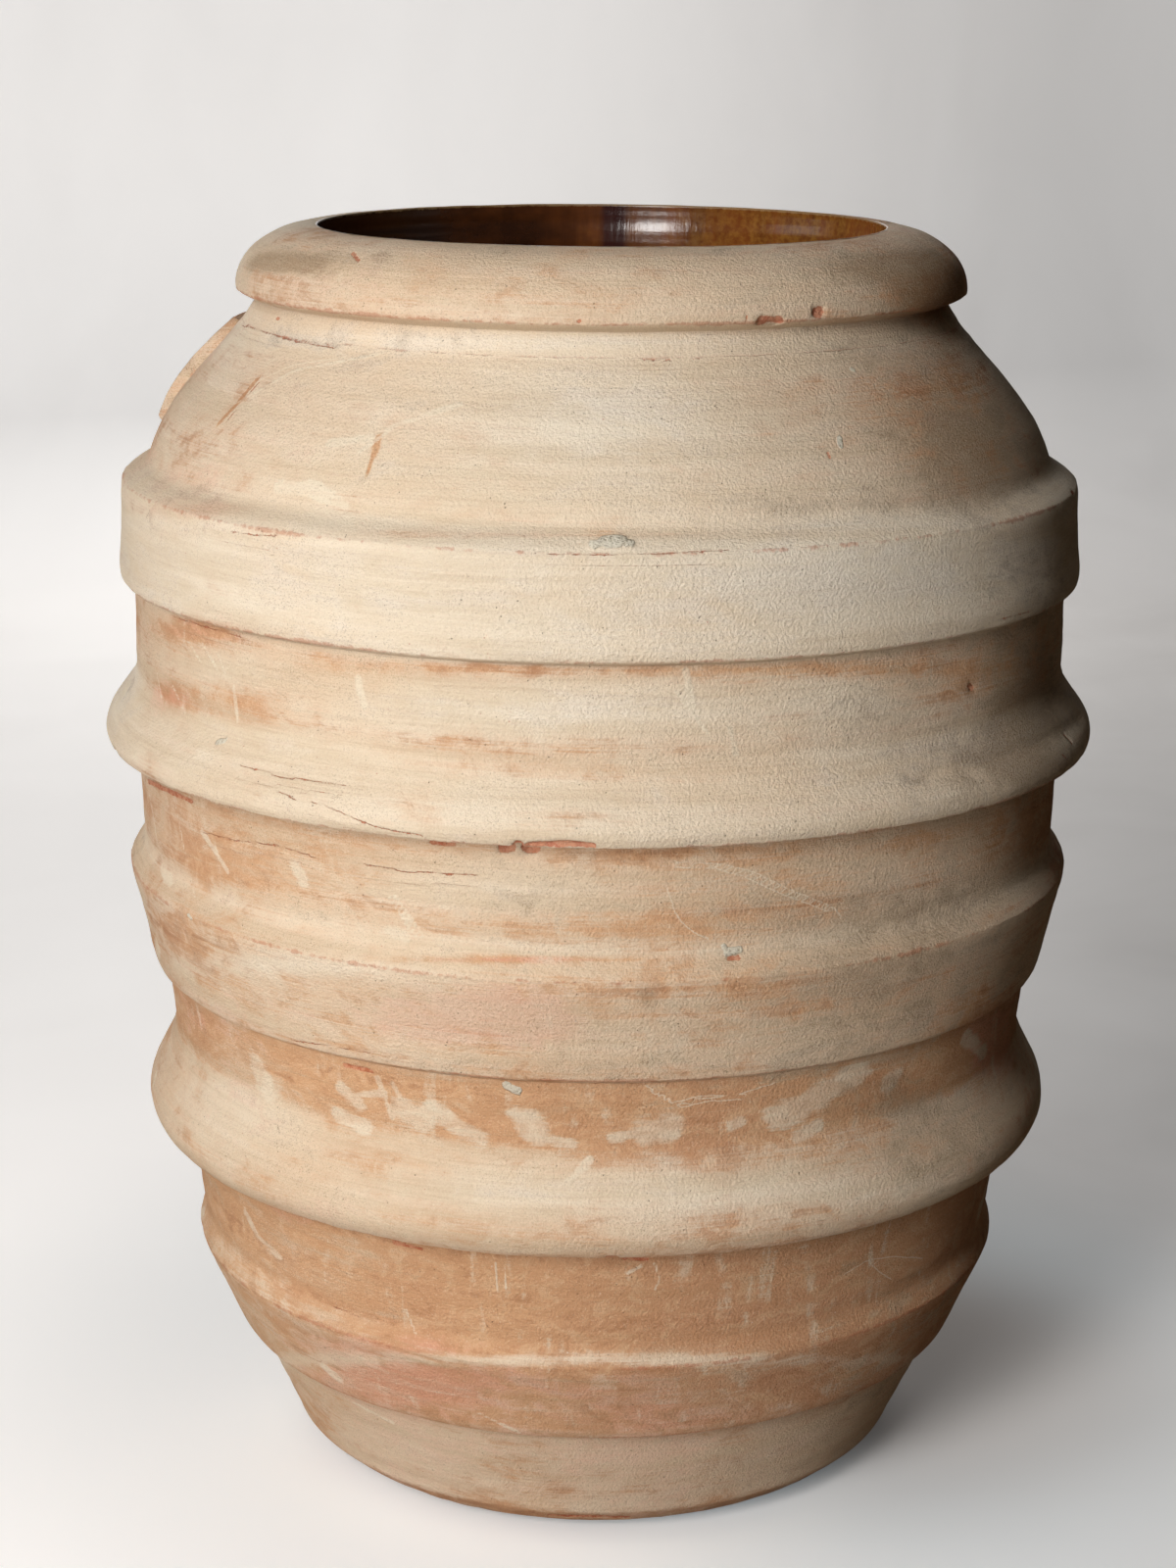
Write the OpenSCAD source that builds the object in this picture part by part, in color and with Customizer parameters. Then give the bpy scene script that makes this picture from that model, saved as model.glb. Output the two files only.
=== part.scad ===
// Large earthenware olive jar, raised in courses.
//
// The wall is built up in six courses and a neck collar. Each join between two courses is
// covered by an applied strap of clay. A rolled rim closes the mouth, a thin glaze lines the
// inside, and a plain seal is pressed onto the left shoulder.
//
// Millimetres, +Z up, origin at the middle of the base. The photographed front faces -Y.
// Every fired piece is a body of revolution. Its outline is given as [radius, height] points.

/* [Wall] */
// Outer radius of the bare wall at the join under strap 2, the widest one
belly_r = 327.5; // [300:0.5:400]
// Radius that the wall would have on the ground, without the worn edge
base_r = 214; // [172:0.5:258]
// How far the foot's worn edge lies inside that radius
edge_inset = 6; // [2:0.5:10]
// Height of the worn edge over the ground
edge_h = 7; // [4:0.5:10]
// How much narrower than the worn edge the base is on the ground
base_undercut = 16; // [8:0.5:22]
// Rounding of the worn edge and of the base's corner
base_round = 3; // [1:0.5:4]
// Height at which the wall starts on the edge of the base slab
base_seat = 20; // [16:1:30]
// Thickness of the fired wall, square to its surface
wall_t = 22; // [14:0.5:28]
// Thickness of the glaze inside
glaze_t = 1.2; // [0.8:0.1:2]

/* [Courses: height of each, how far its top join lies inside belly_r, and its bulge] */
// Height of the foot course, from the ground to the join under strap 5
foot_h = 150; // [125:1:190]
// Inset of the join under strap 5
foot_inset = 44.5; // [30:0.5:60]
// Bulge of the foot course at half its height
foot_bulge = -0.5; // [-4:0.1:8]
// Height of the lower course, up to the join under strap 4
lower_h = 130; // [106:1:170]
// Inset of the join under strap 4
lower_inset = 23; // [14:0.5:30]
// Bulge of the lower course
lower_bulge = 1; // [-4:0.1:8]
// Height of the hip course, up to the join under strap 3
hip_h = 132; // [108:1:170]
// Inset of the join under strap 3
hip_inset = 5.5; // [0:0.5:12]
// Bulge of the hip course
hip_bulge = -3.75; // [-6:0.05:4]
// Height of the belly course, up to the join under strap 2
belly_h = 143; // [110:1:185]
// Bulge of the belly course
belly_bulge = 1.75; // [-3:0.05:6]
// Height of the upper course, up to the join under strap 1
upper_h = 130; // [106:1:170]
// Inset of the join under strap 1
upper_inset = 2.5; // [0:0.5:12]
// Bulge of the upper course
upper_bulge = 1.6; // [-3:0.1:6]
// Height of the shoulder course, up to the collar
shoulder_h = 136; // [110:1:175]
// Bulge of the shoulder course
shoulder_bulge = 17.4; // [8:0.1:24]

/* [Mouth and rim] */
// Radius of the glazed mouth
mouth_r = 196.5; // [160:0.5:238]
// Thickness of the collar, from the glaze to the outside of its top
collar_t = 42.3; // [32:0.1:52]
// Height of the collar
collar_h = 15; // [13:1:24]
// How much wider the collar is at its foot than at its top
collar_flare = 9.8; // [4:0.1:16]
// Height of the collar's straight throat
throat_h = 4; // [2:0.5:8]
// How far the rim hangs out over the collar
rim_over = 14.5; // [6:0.5:22]
// Rise of the rim's underside, from the collar to its edge
rim_under = 5.5; // [2:0.5:10]
// Height of the rim's outer edge
rim_edge = 3; // [2.5:0.5:8]
// Rounding of that edge
rim_round = 2; // [1:0.5:2.5]
// Height of the rim's rounded top, above its edge
rim_rise = 40.5; // [28:0.5:52]

/* [Straps: shared sizes] */
// Height of a strap's sloping underside
strap_root = 3; // [2:0.5:8]
// Rounding of a flat strap's two edges
strap_round = 2.5; // [1:0.5:3]

/* [Strap 1, flat, at the foot of the shoulder] */
// Depth of its lower edge under the join
strap_1_below = 38.5; // [26:0.5:46]
// Height of its upper edge over the join
strap_1_above = 29; // [20:0.5:36]
// How far its lower edge stands out from the wall
strap_1_low = 10; // [7:0.5:16]
// How far its upper edge stands out from the wall
strap_1_top = 15; // [7:0.5:20]
// Height of the ledge that slopes from the upper edge to the wall
strap_1_ledge = 12; // [8:0.5:18]

/* [Strap 2, a roll, round the belly] */
// Depth of its lower edge under the join
strap_2_below = 22; // [16:0.5:28]
// Height at which it runs out on the wall, over the join
strap_2_above = 28; // [22:0.5:36]
// How far its lower edge stands out from the wall
strap_2_low = 21.5; // [12:0.5:26]
// How far its nose stands out from the wall
strap_2_nose = 23; // [16:0.5:28]
// Height of the nose over the lower edge
strap_2_rise = 6.5; // [3:0.5:10]

/* [Strap 3, flat, under the belly] */
// Depth of its lower edge under the join
strap_3_below = 40; // [28:0.5:44]
// Height of its upper edge over the join
strap_3_above = 31; // [20:0.5:38]
// How far its lower edge stands out from the wall
strap_3_low = 6.5; // [6:0.5:14]
// How far its upper edge stands out from the wall
strap_3_top = 12; // [6:0.5:16]
// Height of the ledge that slopes from the upper edge to the wall
strap_3_ledge = 15; // [8:0.5:20]

/* [Strap 4, a roll, round the hip] */
// Depth of its lower edge under the join
strap_4_below = 28.5; // [18:0.5:36]
// Height at which it runs out on the wall, over the join
strap_4_above = 42; // [30:0.5:46]
// How far its lower edge stands out from the wall
strap_4_low = 20; // [12:0.5:24]
// How far its nose stands out from the wall
strap_4_nose = 24.5; // [16:0.5:28]
// Height of the nose over the lower edge
strap_4_rise = 16; // [8:0.5:20]

/* [Strap 5, flat, over the foot] */
// Depth of its lower edge under the join
strap_5_below = 51.5; // [36:0.5:58]
// Height of its upper edge over the join
strap_5_above = 11.5; // [8:0.5:20]
// How far its lower edge stands out from the wall
strap_5_low = 7; // [6:0.5:14]
// How far its upper edge stands out from the wall
strap_5_top = 8; // [6:0.5:14]
// Height of the ledge that slopes from the upper edge to the wall
strap_5_ledge = 16; // [8:0.5:20]

/* [Shoulder seal] */
// Direction that the seal faces, turned from +X
seal_turn = 173; // [0:1:360]
// Width of the seal
seal_w = 75; // [50:1:100]
// Thickness of the seal at its middle
seal_t = 8; // [6:0.5:14]
// Thickness of the seal at its upper and lower ends
seal_end_t = 4.5; // [4.5:0.5:6]
// Distance from strap 1 up to the seal
seal_low_gap = 19; // [12:1:30]
// Distance from the top of the collar down to the seal, in height
seal_top_gap = 20; // [8:1:30]
// Width of the seal's raised border
seal_border = 8; // [5:0.5:14]
// Depth of the plain face inside the border
seal_sunk = 2; // [1:0.5:4]

/* [Hidden] */

$fn = 96;
// Longest step in height between two points of the wall
wall_step = 12;
// Steps in a rounded edge, and in a long curve
edge_steps = 4;
curve_steps = 10;

pale_clay = "#dcbf96";
warm_clay = "#cf9f76";
brown_glaze = "#4b2613";

// Heights of the joins. Join 5 lies under strap 5, and so on up to join 1.
join_5 = foot_h;
join_4 = join_5 + lower_h;
join_3 = join_4 + hip_h;
join_2 = join_3 + belly_h;
join_1 = join_2 + upper_h;
collar_z = join_1 + shoulder_h;
rim_z = collar_z + collar_h;
mouth_z = rim_z + rim_under + rim_edge + rim_rise;

// Radii of the throat's clay and of the collar, which carry the rim
throat_r = mouth_r + glaze_t;
collar_top_r = throat_r + collar_t - glaze_t;
collar_foot_r = collar_top_r + collar_flare;
rim_r = collar_top_r + rim_over;

// ---- outline helpers ----

function unit(v) = v / norm(v);
function left_of(v) = [-v.y, v.x];
function mix(a, b, t) = a + (b - a) * t;
function last(list) = list[len(list) - 1];
function reverse(list) = [for (i = [len(list) - 1 : -1 : 0]) list[i]];

// Point b of the line a-b-c, moved by d to the left of the way a to c, at even thickness
function shifted_point(a, b, c, d) =
    let (u = left_of(unit(b - a)), v = left_of(unit(c - b)), n = unit(u + v))
    b + n * d / (n * u);

// A line moved by d to the left of its direction, which for a wall that is drawn from the
// ground up is towards the axis
function shifted(line, d) =
    let (n = len(line) - 1)
    [for (i = [0 : n])
        i == 0 ? line[0] + left_of(unit(line[1] - line[0])) * d
        : i == n ? line[n] + left_of(unit(line[n] - line[n - 1])) * d
        : shifted_point(line[i - 1], line[i], line[i + 1], d)];

// The corner b between a and c as an arc of radius r
function rounded(a, b, c, r) =
    let (
        u = unit(a - b),
        v = unit(c - b),
        half = acos(u * v) / 2,
        centre = b + unit(u + v) * r / sin(half),
        from = b + u * r / tan(half) - centre,
        to = b + v * r / tan(half) - centre,
        start = atan2(from.y, from.x),
        turn = atan2(to.y, to.x) - start,
        sweep = turn > 180 ? turn - 360 : turn < -180 ? turn + 360 : turn)
    [for (i = [0 : edge_steps])
        centre + r * [cos(start + sweep * i / edge_steps), sin(start + sweep * i / edge_steps)]];

// Bezier curves with one and with two control points, their first end left out
function curve_3(a, b, c) =
    [for (i = [1 : edge_steps]) let (t = i / edge_steps)
        mix(mix(a, b, t), mix(b, c, t), t)];
function curve_4(a, b, c, d) =
    [for (i = [1 : curve_steps]) let (t = i / curve_steps)
        mix(mix(mix(a, b, t), mix(b, c, t), t), mix(mix(b, c, t), mix(c, d, t), t), t)];

// ---- the wall ----

// Each course as [height of its foot, radius there, height of its top, radius there, bulge]
courses = [
    [0, base_r, join_5, belly_r - foot_inset, foot_bulge],
    [join_5, belly_r - foot_inset, join_4, belly_r - lower_inset, lower_bulge],
    [join_4, belly_r - lower_inset, join_3, belly_r - hip_inset, hip_bulge],
    [join_3, belly_r - hip_inset, join_2, belly_r, belly_bulge],
    [join_2, belly_r, join_1, belly_r - upper_inset, upper_bulge],
    [join_1, belly_r - upper_inset, collar_z, collar_foot_r, shoulder_bulge],
    [collar_z, collar_foot_r, rim_z, collar_top_r, 0]];

// The wall's outer surface passes through the foot and the middle of each course
wall_knots = concat(
    [for (c = courses)
        each [[c[1], c[0]], [(c[1] + c[3]) / 2 + c[4], (c[0] + c[2]) / 2]]],
    [[collar_top_r, rim_z]]);
knots = len(wall_knots);

// Slope of the wall, radius over height, at each knot
function chord(i, j) =
    (wall_knots[j].x - wall_knots[i].x) / (wall_knots[j].y - wall_knots[i].y);
knot_slopes = [for (i = [0 : knots - 1])
    i == 0 ? 2 * chord(0, 1) - chord(0, 2)
    : i == knots - 1 ? chord(i - 1, i)
    : chord(i - 1, i + 1)];

// Outer radius of the bare wall at height z: a cubic between the two knots around z
function wall_r(z) =
    let (
        above = [for (i = [1 : knots - 1]) if (wall_knots[i].y >= z) i],
        i = above[0] - 1,
        a = wall_knots[i],
        b = wall_knots[i + 1],
        h = b.y - a.y,
        t = (z - a.y) / h)
    a.x * (1 + 2 * t) * pow(1 - t, 2) + b.x * (3 - 2 * t) * t * t
    + h * (knot_slopes[i] * t * pow(1 - t, 2) - knot_slopes[i + 1] * (1 - t) * t * t);

// Where each strap leaves the wall, at its underside and at its top
strap_feet = [
    [join_5 - strap_5_below - strap_root, join_5 + strap_5_above + strap_5_ledge],
    [join_4 - strap_4_below - strap_root, join_4 + strap_4_above],
    [join_3 - strap_3_below - strap_root, join_3 + strap_3_above + strap_3_ledge],
    [join_2 - strap_2_below - strap_root, join_2 + strap_2_above],
    [join_1 - strap_1_below - strap_root, join_1 + strap_1_above + strap_1_ledge]];

// Heights at which the wall has a point: every join and foot of a strap, and even steps between
marks = [
    base_seat, strap_feet[0][0], join_5, strap_feet[0][1], strap_feet[1][0], join_4,
    strap_feet[1][1], strap_feet[2][0], join_3, strap_feet[2][1], strap_feet[3][0], join_2,
    strap_feet[3][1], strap_feet[4][0], join_1, strap_feet[4][1], collar_z, rim_z];
heights = concat(
    [for (i = [0 : len(marks) - 2])
        let (steps = ceil((marks[i + 1] - marks[i]) / wall_step))
        for (s = [0 : steps - 1]) mix(marks[i], marks[i + 1], s / steps)],
    [rim_z]);

outer_line = [for (z = heights) [wall_r(z), z]];
inner_line = shifted(outer_line, wall_t);

// The stretch of a line that goes with outer_line's points from height z1 to height z2
function stretch(line, z1, z2) =
    [for (i = [0 : len(heights) - 1]) if (heights[i] >= z1 && heights[i] <= z2) line[i]];

module turned(outline) {
    rotate_extrude() polygon(outline);
}

// A course of the wall. Its two joins are square to the wall.
module course(z1, z2) {
    turned(concat(stretch(outer_line, z1, z2), reverse(stretch(inner_line, z1, z2))));
}

// ---- base ----

floor_corner = inner_line[0];
worn_edge = [base_r - edge_inset, edge_h];
base_corner = [worn_edge.x - base_undercut, 0];

module base_slab() {
    color(warm_clay)
        turned(concat(
            [[0, 0]],
            rounded([0, 0], base_corner, worn_edge, base_round),
            rounded(base_corner, worn_edge, outer_line[0], base_round),
            [outer_line[0], floor_corner, [0, floor_corner.y]]));
}

// ---- wall courses ----

module foot_course() {
    color(warm_clay) course(base_seat, join_5);
}

module lower_course() {
    color(warm_clay) course(join_5, join_4);
}

module hip_course() {
    color(warm_clay) course(join_4, join_3);
}

module belly_course() {
    color(warm_clay) course(join_3, join_2);
}

module upper_course() {
    color(warm_clay) course(join_2, join_1);
}

module shoulder_course() {
    color(pale_clay) course(join_1, collar_z);
}

// ---- collar and rim ----

// Inside of the collar: from the shoulder's inner edge in to the straight throat
shoulder_top_in = last(stretch(inner_line, join_1, collar_z));
throat_foot = [throat_r, rim_z - throat_h];
collar_inside = curve_4(
    shoulder_top_in,
    mix(shoulder_top_in, throat_foot, 0.35),
    [throat_r, mix(shoulder_top_in.y, throat_foot.y, 0.45)],
    throat_foot);

module neck_collar() {
    color(pale_clay)
        turned(concat(
            stretch(outer_line, collar_z, rim_z),
            [[throat_r, rim_z]],
            reverse(collar_inside),
            [shoulder_top_in]));
}

// The rim's top is a quarter of an ellipse, from its outer edge in to the mouth
module rolled_rim() {
    edge_low = [rim_r, rim_z + rim_under];
    edge_top = edge_low + [0, rim_edge];
    color(pale_clay)
        turned(concat(
            [[throat_r, rim_z], [collar_top_r, rim_z]],
            rounded([collar_top_r, rim_z], edge_low, edge_top, rim_round),
            [for (i = [0 : curve_steps]) let (a = 90 * i / curve_steps)
                [throat_r + (rim_r - throat_r) * cos(a), edge_top.y + rim_rise * sin(a)]]));
}

// ---- straps ----

// A flat strap between the feet z1 and z2. Its face runs between two rounded edges, and a
// ledge slopes back to the wall over the upper one.
module flat_strap(z1, z2, low, top, ledge) {
    edge_low = [wall_r(z1 + strap_root) + low, z1 + strap_root];
    edge_top = [wall_r(z2 - ledge) + top, z2 - ledge];
    back = stretch(outer_line, z1, z2);
    turned(concat(
        reverse(back),
        rounded(back[0], edge_low, edge_top, strap_round),
        rounded(edge_low, edge_top, last(back), strap_round)));
}

// A rolled strap between the feet z1 and z2. Over its sharp lower edge the nose bulges out,
// and its back runs out softly on the wall.
module roll_strap(z1, z2, low, nose, rise) {
    edge = [wall_r(z1 + strap_root) + low, z1 + strap_root];
    tip = [wall_r(edge.y + rise) + nose, edge.y + rise];
    back = stretch(outer_line, z1, z2);
    end = last(back);
    run = end.y - tip.y;
    turned(concat(
        reverse(back),
        [edge],
        curve_3(edge, [tip.x, mix(edge.y, tip.y, 0.5)], tip),
        curve_4(tip, tip + [0, run * 0.31], [mix(end.x, tip.x, 0.12), end.y - run * 0.4], end)));
}

module strap_1_flat() {
    color(pale_clay)
        flat_strap(strap_feet[4][0], strap_feet[4][1], strap_1_low, strap_1_top, strap_1_ledge);
}

module strap_2_roll() {
    color(pale_clay)
        roll_strap(strap_feet[3][0], strap_feet[3][1], strap_2_low, strap_2_nose, strap_2_rise);
}

module strap_3_flat() {
    color(pale_clay)
        flat_strap(strap_feet[2][0], strap_feet[2][1], strap_3_low, strap_3_top, strap_3_ledge);
}

module strap_4_roll() {
    color(pale_clay)
        roll_strap(strap_feet[1][0], strap_feet[1][1], strap_4_low, strap_4_nose, strap_4_rise);
}

module strap_5_flat() {
    color(pale_clay)
        flat_strap(strap_feet[0][0], strap_feet[0][1], strap_5_low, strap_5_top, strap_5_ledge);
}

// ---- glaze ----

// Skin of glass over the whole inside, from the floor's middle to the edge of the mouth
module glaze_lining() {
    clay_side = concat(
        [[0, floor_corner.y]],
        stretch(inner_line, base_seat, collar_z),
        collar_inside,
        [[throat_r, mouth_z]]);
    color(brown_glaze)
        turned(concat(clay_side, reverse(shifted(clay_side, glaze_t))));
}

// ---- seal ----

// A pad of clay pressed onto the shoulder, square to it, with a plain face in a raised border
module shoulder_seal() {
    foot = let (z = strap_feet[4][1] + seal_low_gap) [wall_r(z), z];
    head = let (z = rim_z - seal_top_gap) [wall_r(z), z];
    middle = (foot + head) / 2;
    lean = atan2(foot.x - head.x, head.y - foot.y);
    seal_l = norm(head - foot);
    under = stretch(outer_line, strap_feet[4][1], rim_z);
    out = shifted(under, -1) - under;

    // The seal's outer face, let in by sunk: thickest at the middle, thinner at both ends
    function face(sunk) =
        [for (i = [0 : len(under) - 1])
            let (s = min(1, abs(under[i].y - middle.y) / (head.y - middle.y)))
            under[i] + out[i] * (mix(seal_t, seal_end_t, s * s) - sunk)];

    // What lies between two lines over the wall, cut to the given length and width
    module layer(over, below, length, width) {
        intersection() {
            turned(concat(over, reverse(below)));
            translate([middle.x, 0, middle.y])
                rotate([0, -lean, 0])
                cube([6 * seal_t, width, length], center = true);
        }
    }

    color(pale_clay)
        rotate([0, 0, seal_turn])
        difference() {
            layer(face(0), under, seal_l, seal_w);
            layer(face(-1), face(seal_sunk), seal_l - 2 * seal_border, seal_w - 2 * seal_border);
        }
}

base_slab();
foot_course();
lower_course();
hip_course();
belly_course();
upper_course();
shoulder_course();
neck_collar();
rolled_rim();
strap_1_flat();
strap_2_roll();
strap_3_flat();
strap_4_roll();
strap_5_flat();
glaze_lining();
shoulder_seal();
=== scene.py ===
# %% [markdown]
# # A large earthenware olive jar
#
# The jar is a big, heavy vessel that was raised by hand, one course of clay on top of the last.
# Straps of clay cover the joins, a rolled rim closes the mouth, and a brown glaze lines the
# inside. Everything on it is turned on one axis, so its shape is a single outline carried round
# the jar. What makes it look real is how far it strays from that outline: throwing lines, worn
# edges, chips, and a pale slip that was wiped over orange clay.
#
# The measured model comes first. Every detailed piece below takes its size and place from it.

# %% Load the measured model
import math

import bpy
import numpy as np
from mathutils import Matrix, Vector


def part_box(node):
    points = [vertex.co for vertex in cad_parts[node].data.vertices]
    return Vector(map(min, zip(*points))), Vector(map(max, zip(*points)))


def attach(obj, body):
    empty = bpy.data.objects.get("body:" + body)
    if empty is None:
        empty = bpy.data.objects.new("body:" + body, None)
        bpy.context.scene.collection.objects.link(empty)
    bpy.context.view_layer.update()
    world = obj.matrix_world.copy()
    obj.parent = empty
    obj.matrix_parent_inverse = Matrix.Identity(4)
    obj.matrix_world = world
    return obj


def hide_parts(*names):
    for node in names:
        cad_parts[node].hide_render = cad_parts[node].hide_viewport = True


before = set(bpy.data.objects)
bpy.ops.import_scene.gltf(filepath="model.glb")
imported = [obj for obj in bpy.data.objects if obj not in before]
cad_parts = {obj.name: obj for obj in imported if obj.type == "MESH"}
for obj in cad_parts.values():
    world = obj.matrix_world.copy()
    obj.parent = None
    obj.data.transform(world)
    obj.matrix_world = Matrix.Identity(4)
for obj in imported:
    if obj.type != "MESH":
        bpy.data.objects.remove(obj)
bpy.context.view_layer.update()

print("measured nodes:", len(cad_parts))

# %% [markdown]
# ## The camera
#
# The picture was taken from some two metres away and a metre above the ground, looking down at
# the jar. The camera comes first, because marks that are seen in the picture are later placed on
# the clay along the camera's lines of sight.

# %% The camera's place and its three directions
PICTURE = (1200, 1600)        # width and height of the picture, in pixels
STAND_BACK = 2.1816           # metres from the jar's axis
EYE_HEIGHT = 1.044
LOOK_DOWN = math.radians(14.39)
LEAN = math.radians(0.38)     # the camera is held slightly askew
FOCAL_PX = 3172               # focal length in the picture's pixels
SIDEWAYS_PX = 10.2            # the jar stands this far right of the picture's middle
FILM = 36                     # width of the camera's film, in mm

eye = np.array([0, -STAND_BACK, EYE_HEIGHT])
ahead = np.array([0, math.cos(LOOK_DOWN), -math.sin(LOOK_DOWN)])
level_right = np.array([1.0, 0, 0])
level_up = np.array([0, math.sin(LOOK_DOWN), math.cos(LOOK_DOWN)])
right = math.cos(LEAN) * level_right + math.sin(LEAN) * level_up
up = math.cos(LEAN) * level_up - math.sin(LEAN) * level_right


def axes_at(place, side, over, back):
    """The matrix of an item at a place, whose own X, Y and Z point in the three directions."""
    return Matrix(np.vstack([np.column_stack([side, over, back, place]), [0, 0, 0, 1]]).tolist())


camera_data = bpy.data.cameras.new("camera")
camera_data.sensor_width = FILM
camera_data.lens = FOCAL_PX / max(PICTURE) * FILM
camera_data.shift_x = -SIDEWAYS_PX / max(PICTURE)
camera_data.clip_end = 50
camera = bpy.data.objects.new("camera", camera_data)
camera.matrix_world = axes_at(eye, right, up, -ahead)
bpy.context.scene.collection.objects.link(camera)
bpy.context.scene.camera = camera
print("lens", round(camera_data.lens, 1), "mm")


# %% [markdown]
# ## Reading the outline
#
# Each clay piece of the measured model is a body of revolution, so its mesh is a stack of
# rings. A ring is one point of the outline, as radius and height, and the mesh's edges tell
# which rings follow each other. An outline edge that lies on another piece's outline is hidden
# in the joint. What is left, piece after piece, is the jar's skin.

# %% Outlines of the measured pieces
MM = 0.001


def part(value):
    """The value, held between 0 and 1."""
    return np.clip(value, 0, 1)


def unit(rows):
    """Each row, made one long."""
    return rows / np.linalg.norm(rows, axis=1)[:, None]


def run_of(rows):
    """How far along the path of points each of them lies."""
    return np.append(0, np.cumsum(np.linalg.norm(np.diff(rows, axis=0), axis=1)))


STACK = ["base_slab", "foot_course", "strap_5_flat", "lower_course", "strap_4_roll", "hip_course",
         "strap_3_flat", "belly_course", "strap_2_roll", "upper_course", "strap_1_flat",
         "shoulder_course", "neck_collar", "rolled_rim"]
PIECES = STACK + ["glaze_lining"]
ALIKE = 0.05 * MM             # points closer than this are one point of the outline
IN_JOINT = 0.03 * MM          # an edge closer than this to another piece lies in their joint


def corners(node):
    """The corners of a node's mesh, as rows of X, Y and Z."""
    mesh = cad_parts[node].data
    place = np.empty(len(mesh.vertices) * 3)
    mesh.vertices.foreach_get("co", place)
    return place.reshape(-1, 3)


def outline_of(node):
    """The rings of a node's mesh, walked in order from the axis, or else round the loop."""
    mesh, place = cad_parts[node].data, corners(node)
    flat = np.column_stack([np.hypot(place[:, 0], place[:, 1]), place[:, 2]])
    coarse, ring = np.unique(flat.round(5), axis=0, return_inverse=True)
    apart = np.linalg.norm(coarse[:, None] - coarse[None], axis=2)
    ring = (apart < ALIKE).argmax(axis=1)[ring.ravel()]
    ends = np.empty(len(mesh.edges) * 2, int)
    mesh.edges.foreach_get("vertices", ends)
    pairs = np.unique(np.sort(ring[ends].reshape(-1, 2), axis=1), axis=0)
    pairs = pairs[pairs[:, 0] != pairs[:, 1]]
    follows = {}
    for a, b in pairs.tolist():
        follows.setdefault(a, []).append(b)
        follows.setdefault(b, []).append(a)
    on_axis = sorted((r for r in follows if len(follows[r]) == 1), key=lambda r: coarse[r][1])
    walk = [on_axis[0] if on_axis else min(follows)]
    while True:
        onward = [r for r in follows[walk[-1]] if r not in walk]
        if not onward:
            break
        walk.append(onward[0])
    return coarse[walk], bool(on_axis)


outlines = {node: outline_of(node) for node in PIECES}
print({node: len(line) for node, (line, _) in outlines.items()})


# %% Which edges of an outline show, and which lie in a joint
def edges_of(node):
    """Start and end of each outline edge. A loop also has the edge that closes it."""
    line, is_open = outlines[node]
    onward = np.roll(line, -1, axis=0)
    return (line[:-1], onward[:-1]) if is_open else (line, onward)


def shows(node):
    """True for each edge whose middle lies on no other piece's outline."""
    start, end = edges_of(node)
    middle = (start + end) / 2
    free = np.ones(len(middle), bool)
    for other in outlines:
        if other == node:
            continue
        a, b = edges_of(other)
        along = b - a
        share = ((middle[:, None] - a) * along).sum(2) / (along ** 2).sum(1)
        foot = a + part(share)[..., None] * along
        free &= np.linalg.norm(middle[:, None] - foot, axis=2).min(axis=1) > IN_JOINT
    return free


def split(node):
    """The shown stretch of a node's outline, from the ground up, and the rest of it."""
    line, is_open = outlines[node]
    free = shows(node)
    if not is_open:
        first = int(np.flatnonzero(free & ~np.roll(free, 1))[0])
        line, free = np.roll(line, -first, axis=0), np.roll(free, -first)
    count = int(free.sum()) + 1
    begin = int(free.argmax())
    shown = line[begin:begin + count]
    hidden = np.concatenate([line[begin + count:], line[:begin]])
    if node != "glaze_lining" and shown[0][1] > shown[-1][1]:
        shown, hidden = shown[::-1], hidden[::-1]
    return shown, hidden


shown, hidden = {}, {}
for node in outlines:
    shown[node], hidden[node] = split(node)
print({node: (len(shown[node]), len(hidden[node])) for node in shown})


# %% [markdown]
# ## The skin as one soft line
#
# The measured outline is drawn with straight steps and crisp corners, and fired clay has
# neither. The shown stretches are joined to one line, from the middle of the underside, up the
# outside, over the rim and down the glazed inside. A cubic runs through the gentle points, and
# then the line is blurred: a little at the edges that hands and years have rounded, and more
# in the hollow over a flat strap, where the potter's thumb pressed the clay onto the wall.

# %% A cubic through the outline's points
STEP = 0.5 * MM
CORNER = math.radians(30)     # a sharper turn than this is a corner

points = [shown["base_slab"][:1]]
owner_of_edge = []
for node in PIECES:
    points.append(shown[node][1:])
    owner_of_edge += [node] * (len(shown[node]) - 1)
points = np.concatenate(points)


def drawn(points):
    """A cubic over each edge. At a gentle point it leaves as it came in, along the mean of both
    edges' directions, the shorter edge counting more. At a corner it follows its own edge.
    Gives the fine points, the edge that each lies on, and each given point's turn."""
    edge = np.diff(points, axis=0)
    length = np.linalg.norm(edge, axis=1)
    way = edge / length[:, None]
    turn = np.arctan2(way[:-1, 0] * way[1:, 1] - way[:-1, 1] * way[1:, 0],
                      (way[:-1] * way[1:]).sum(1))
    mean = unit(way[:-1] * length[1:, None] + way[1:] * length[:-1, None])
    gentle = (np.abs(turn) < CORNER)[:, None]
    leave, arrive = way.copy(), way.copy()
    leave[1:] = np.where(gentle, mean, way[1:])
    arrive[:-1] = np.where(gentle, mean, way[:-1])
    count = np.ceil(length / STEP).astype(int)
    on = np.repeat(np.arange(len(edge)), count)
    first = np.cumsum(count) - count
    t = ((np.arange(len(on)) - first[on]) / count[on])[:, None]
    a, b, size = points[on], points[on + 1], length[on][:, None]
    line = (a * (1 + 2 * t) * (1 - t) ** 2 + b * (3 - 2 * t) * t ** 2
            + size * (leave[on] * t * (1 - t) ** 2 - arrive[on] * (1 - t) * t ** 2))
    return np.vstack([line, points[-1]]), np.append(on, on[-1]), turn


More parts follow.
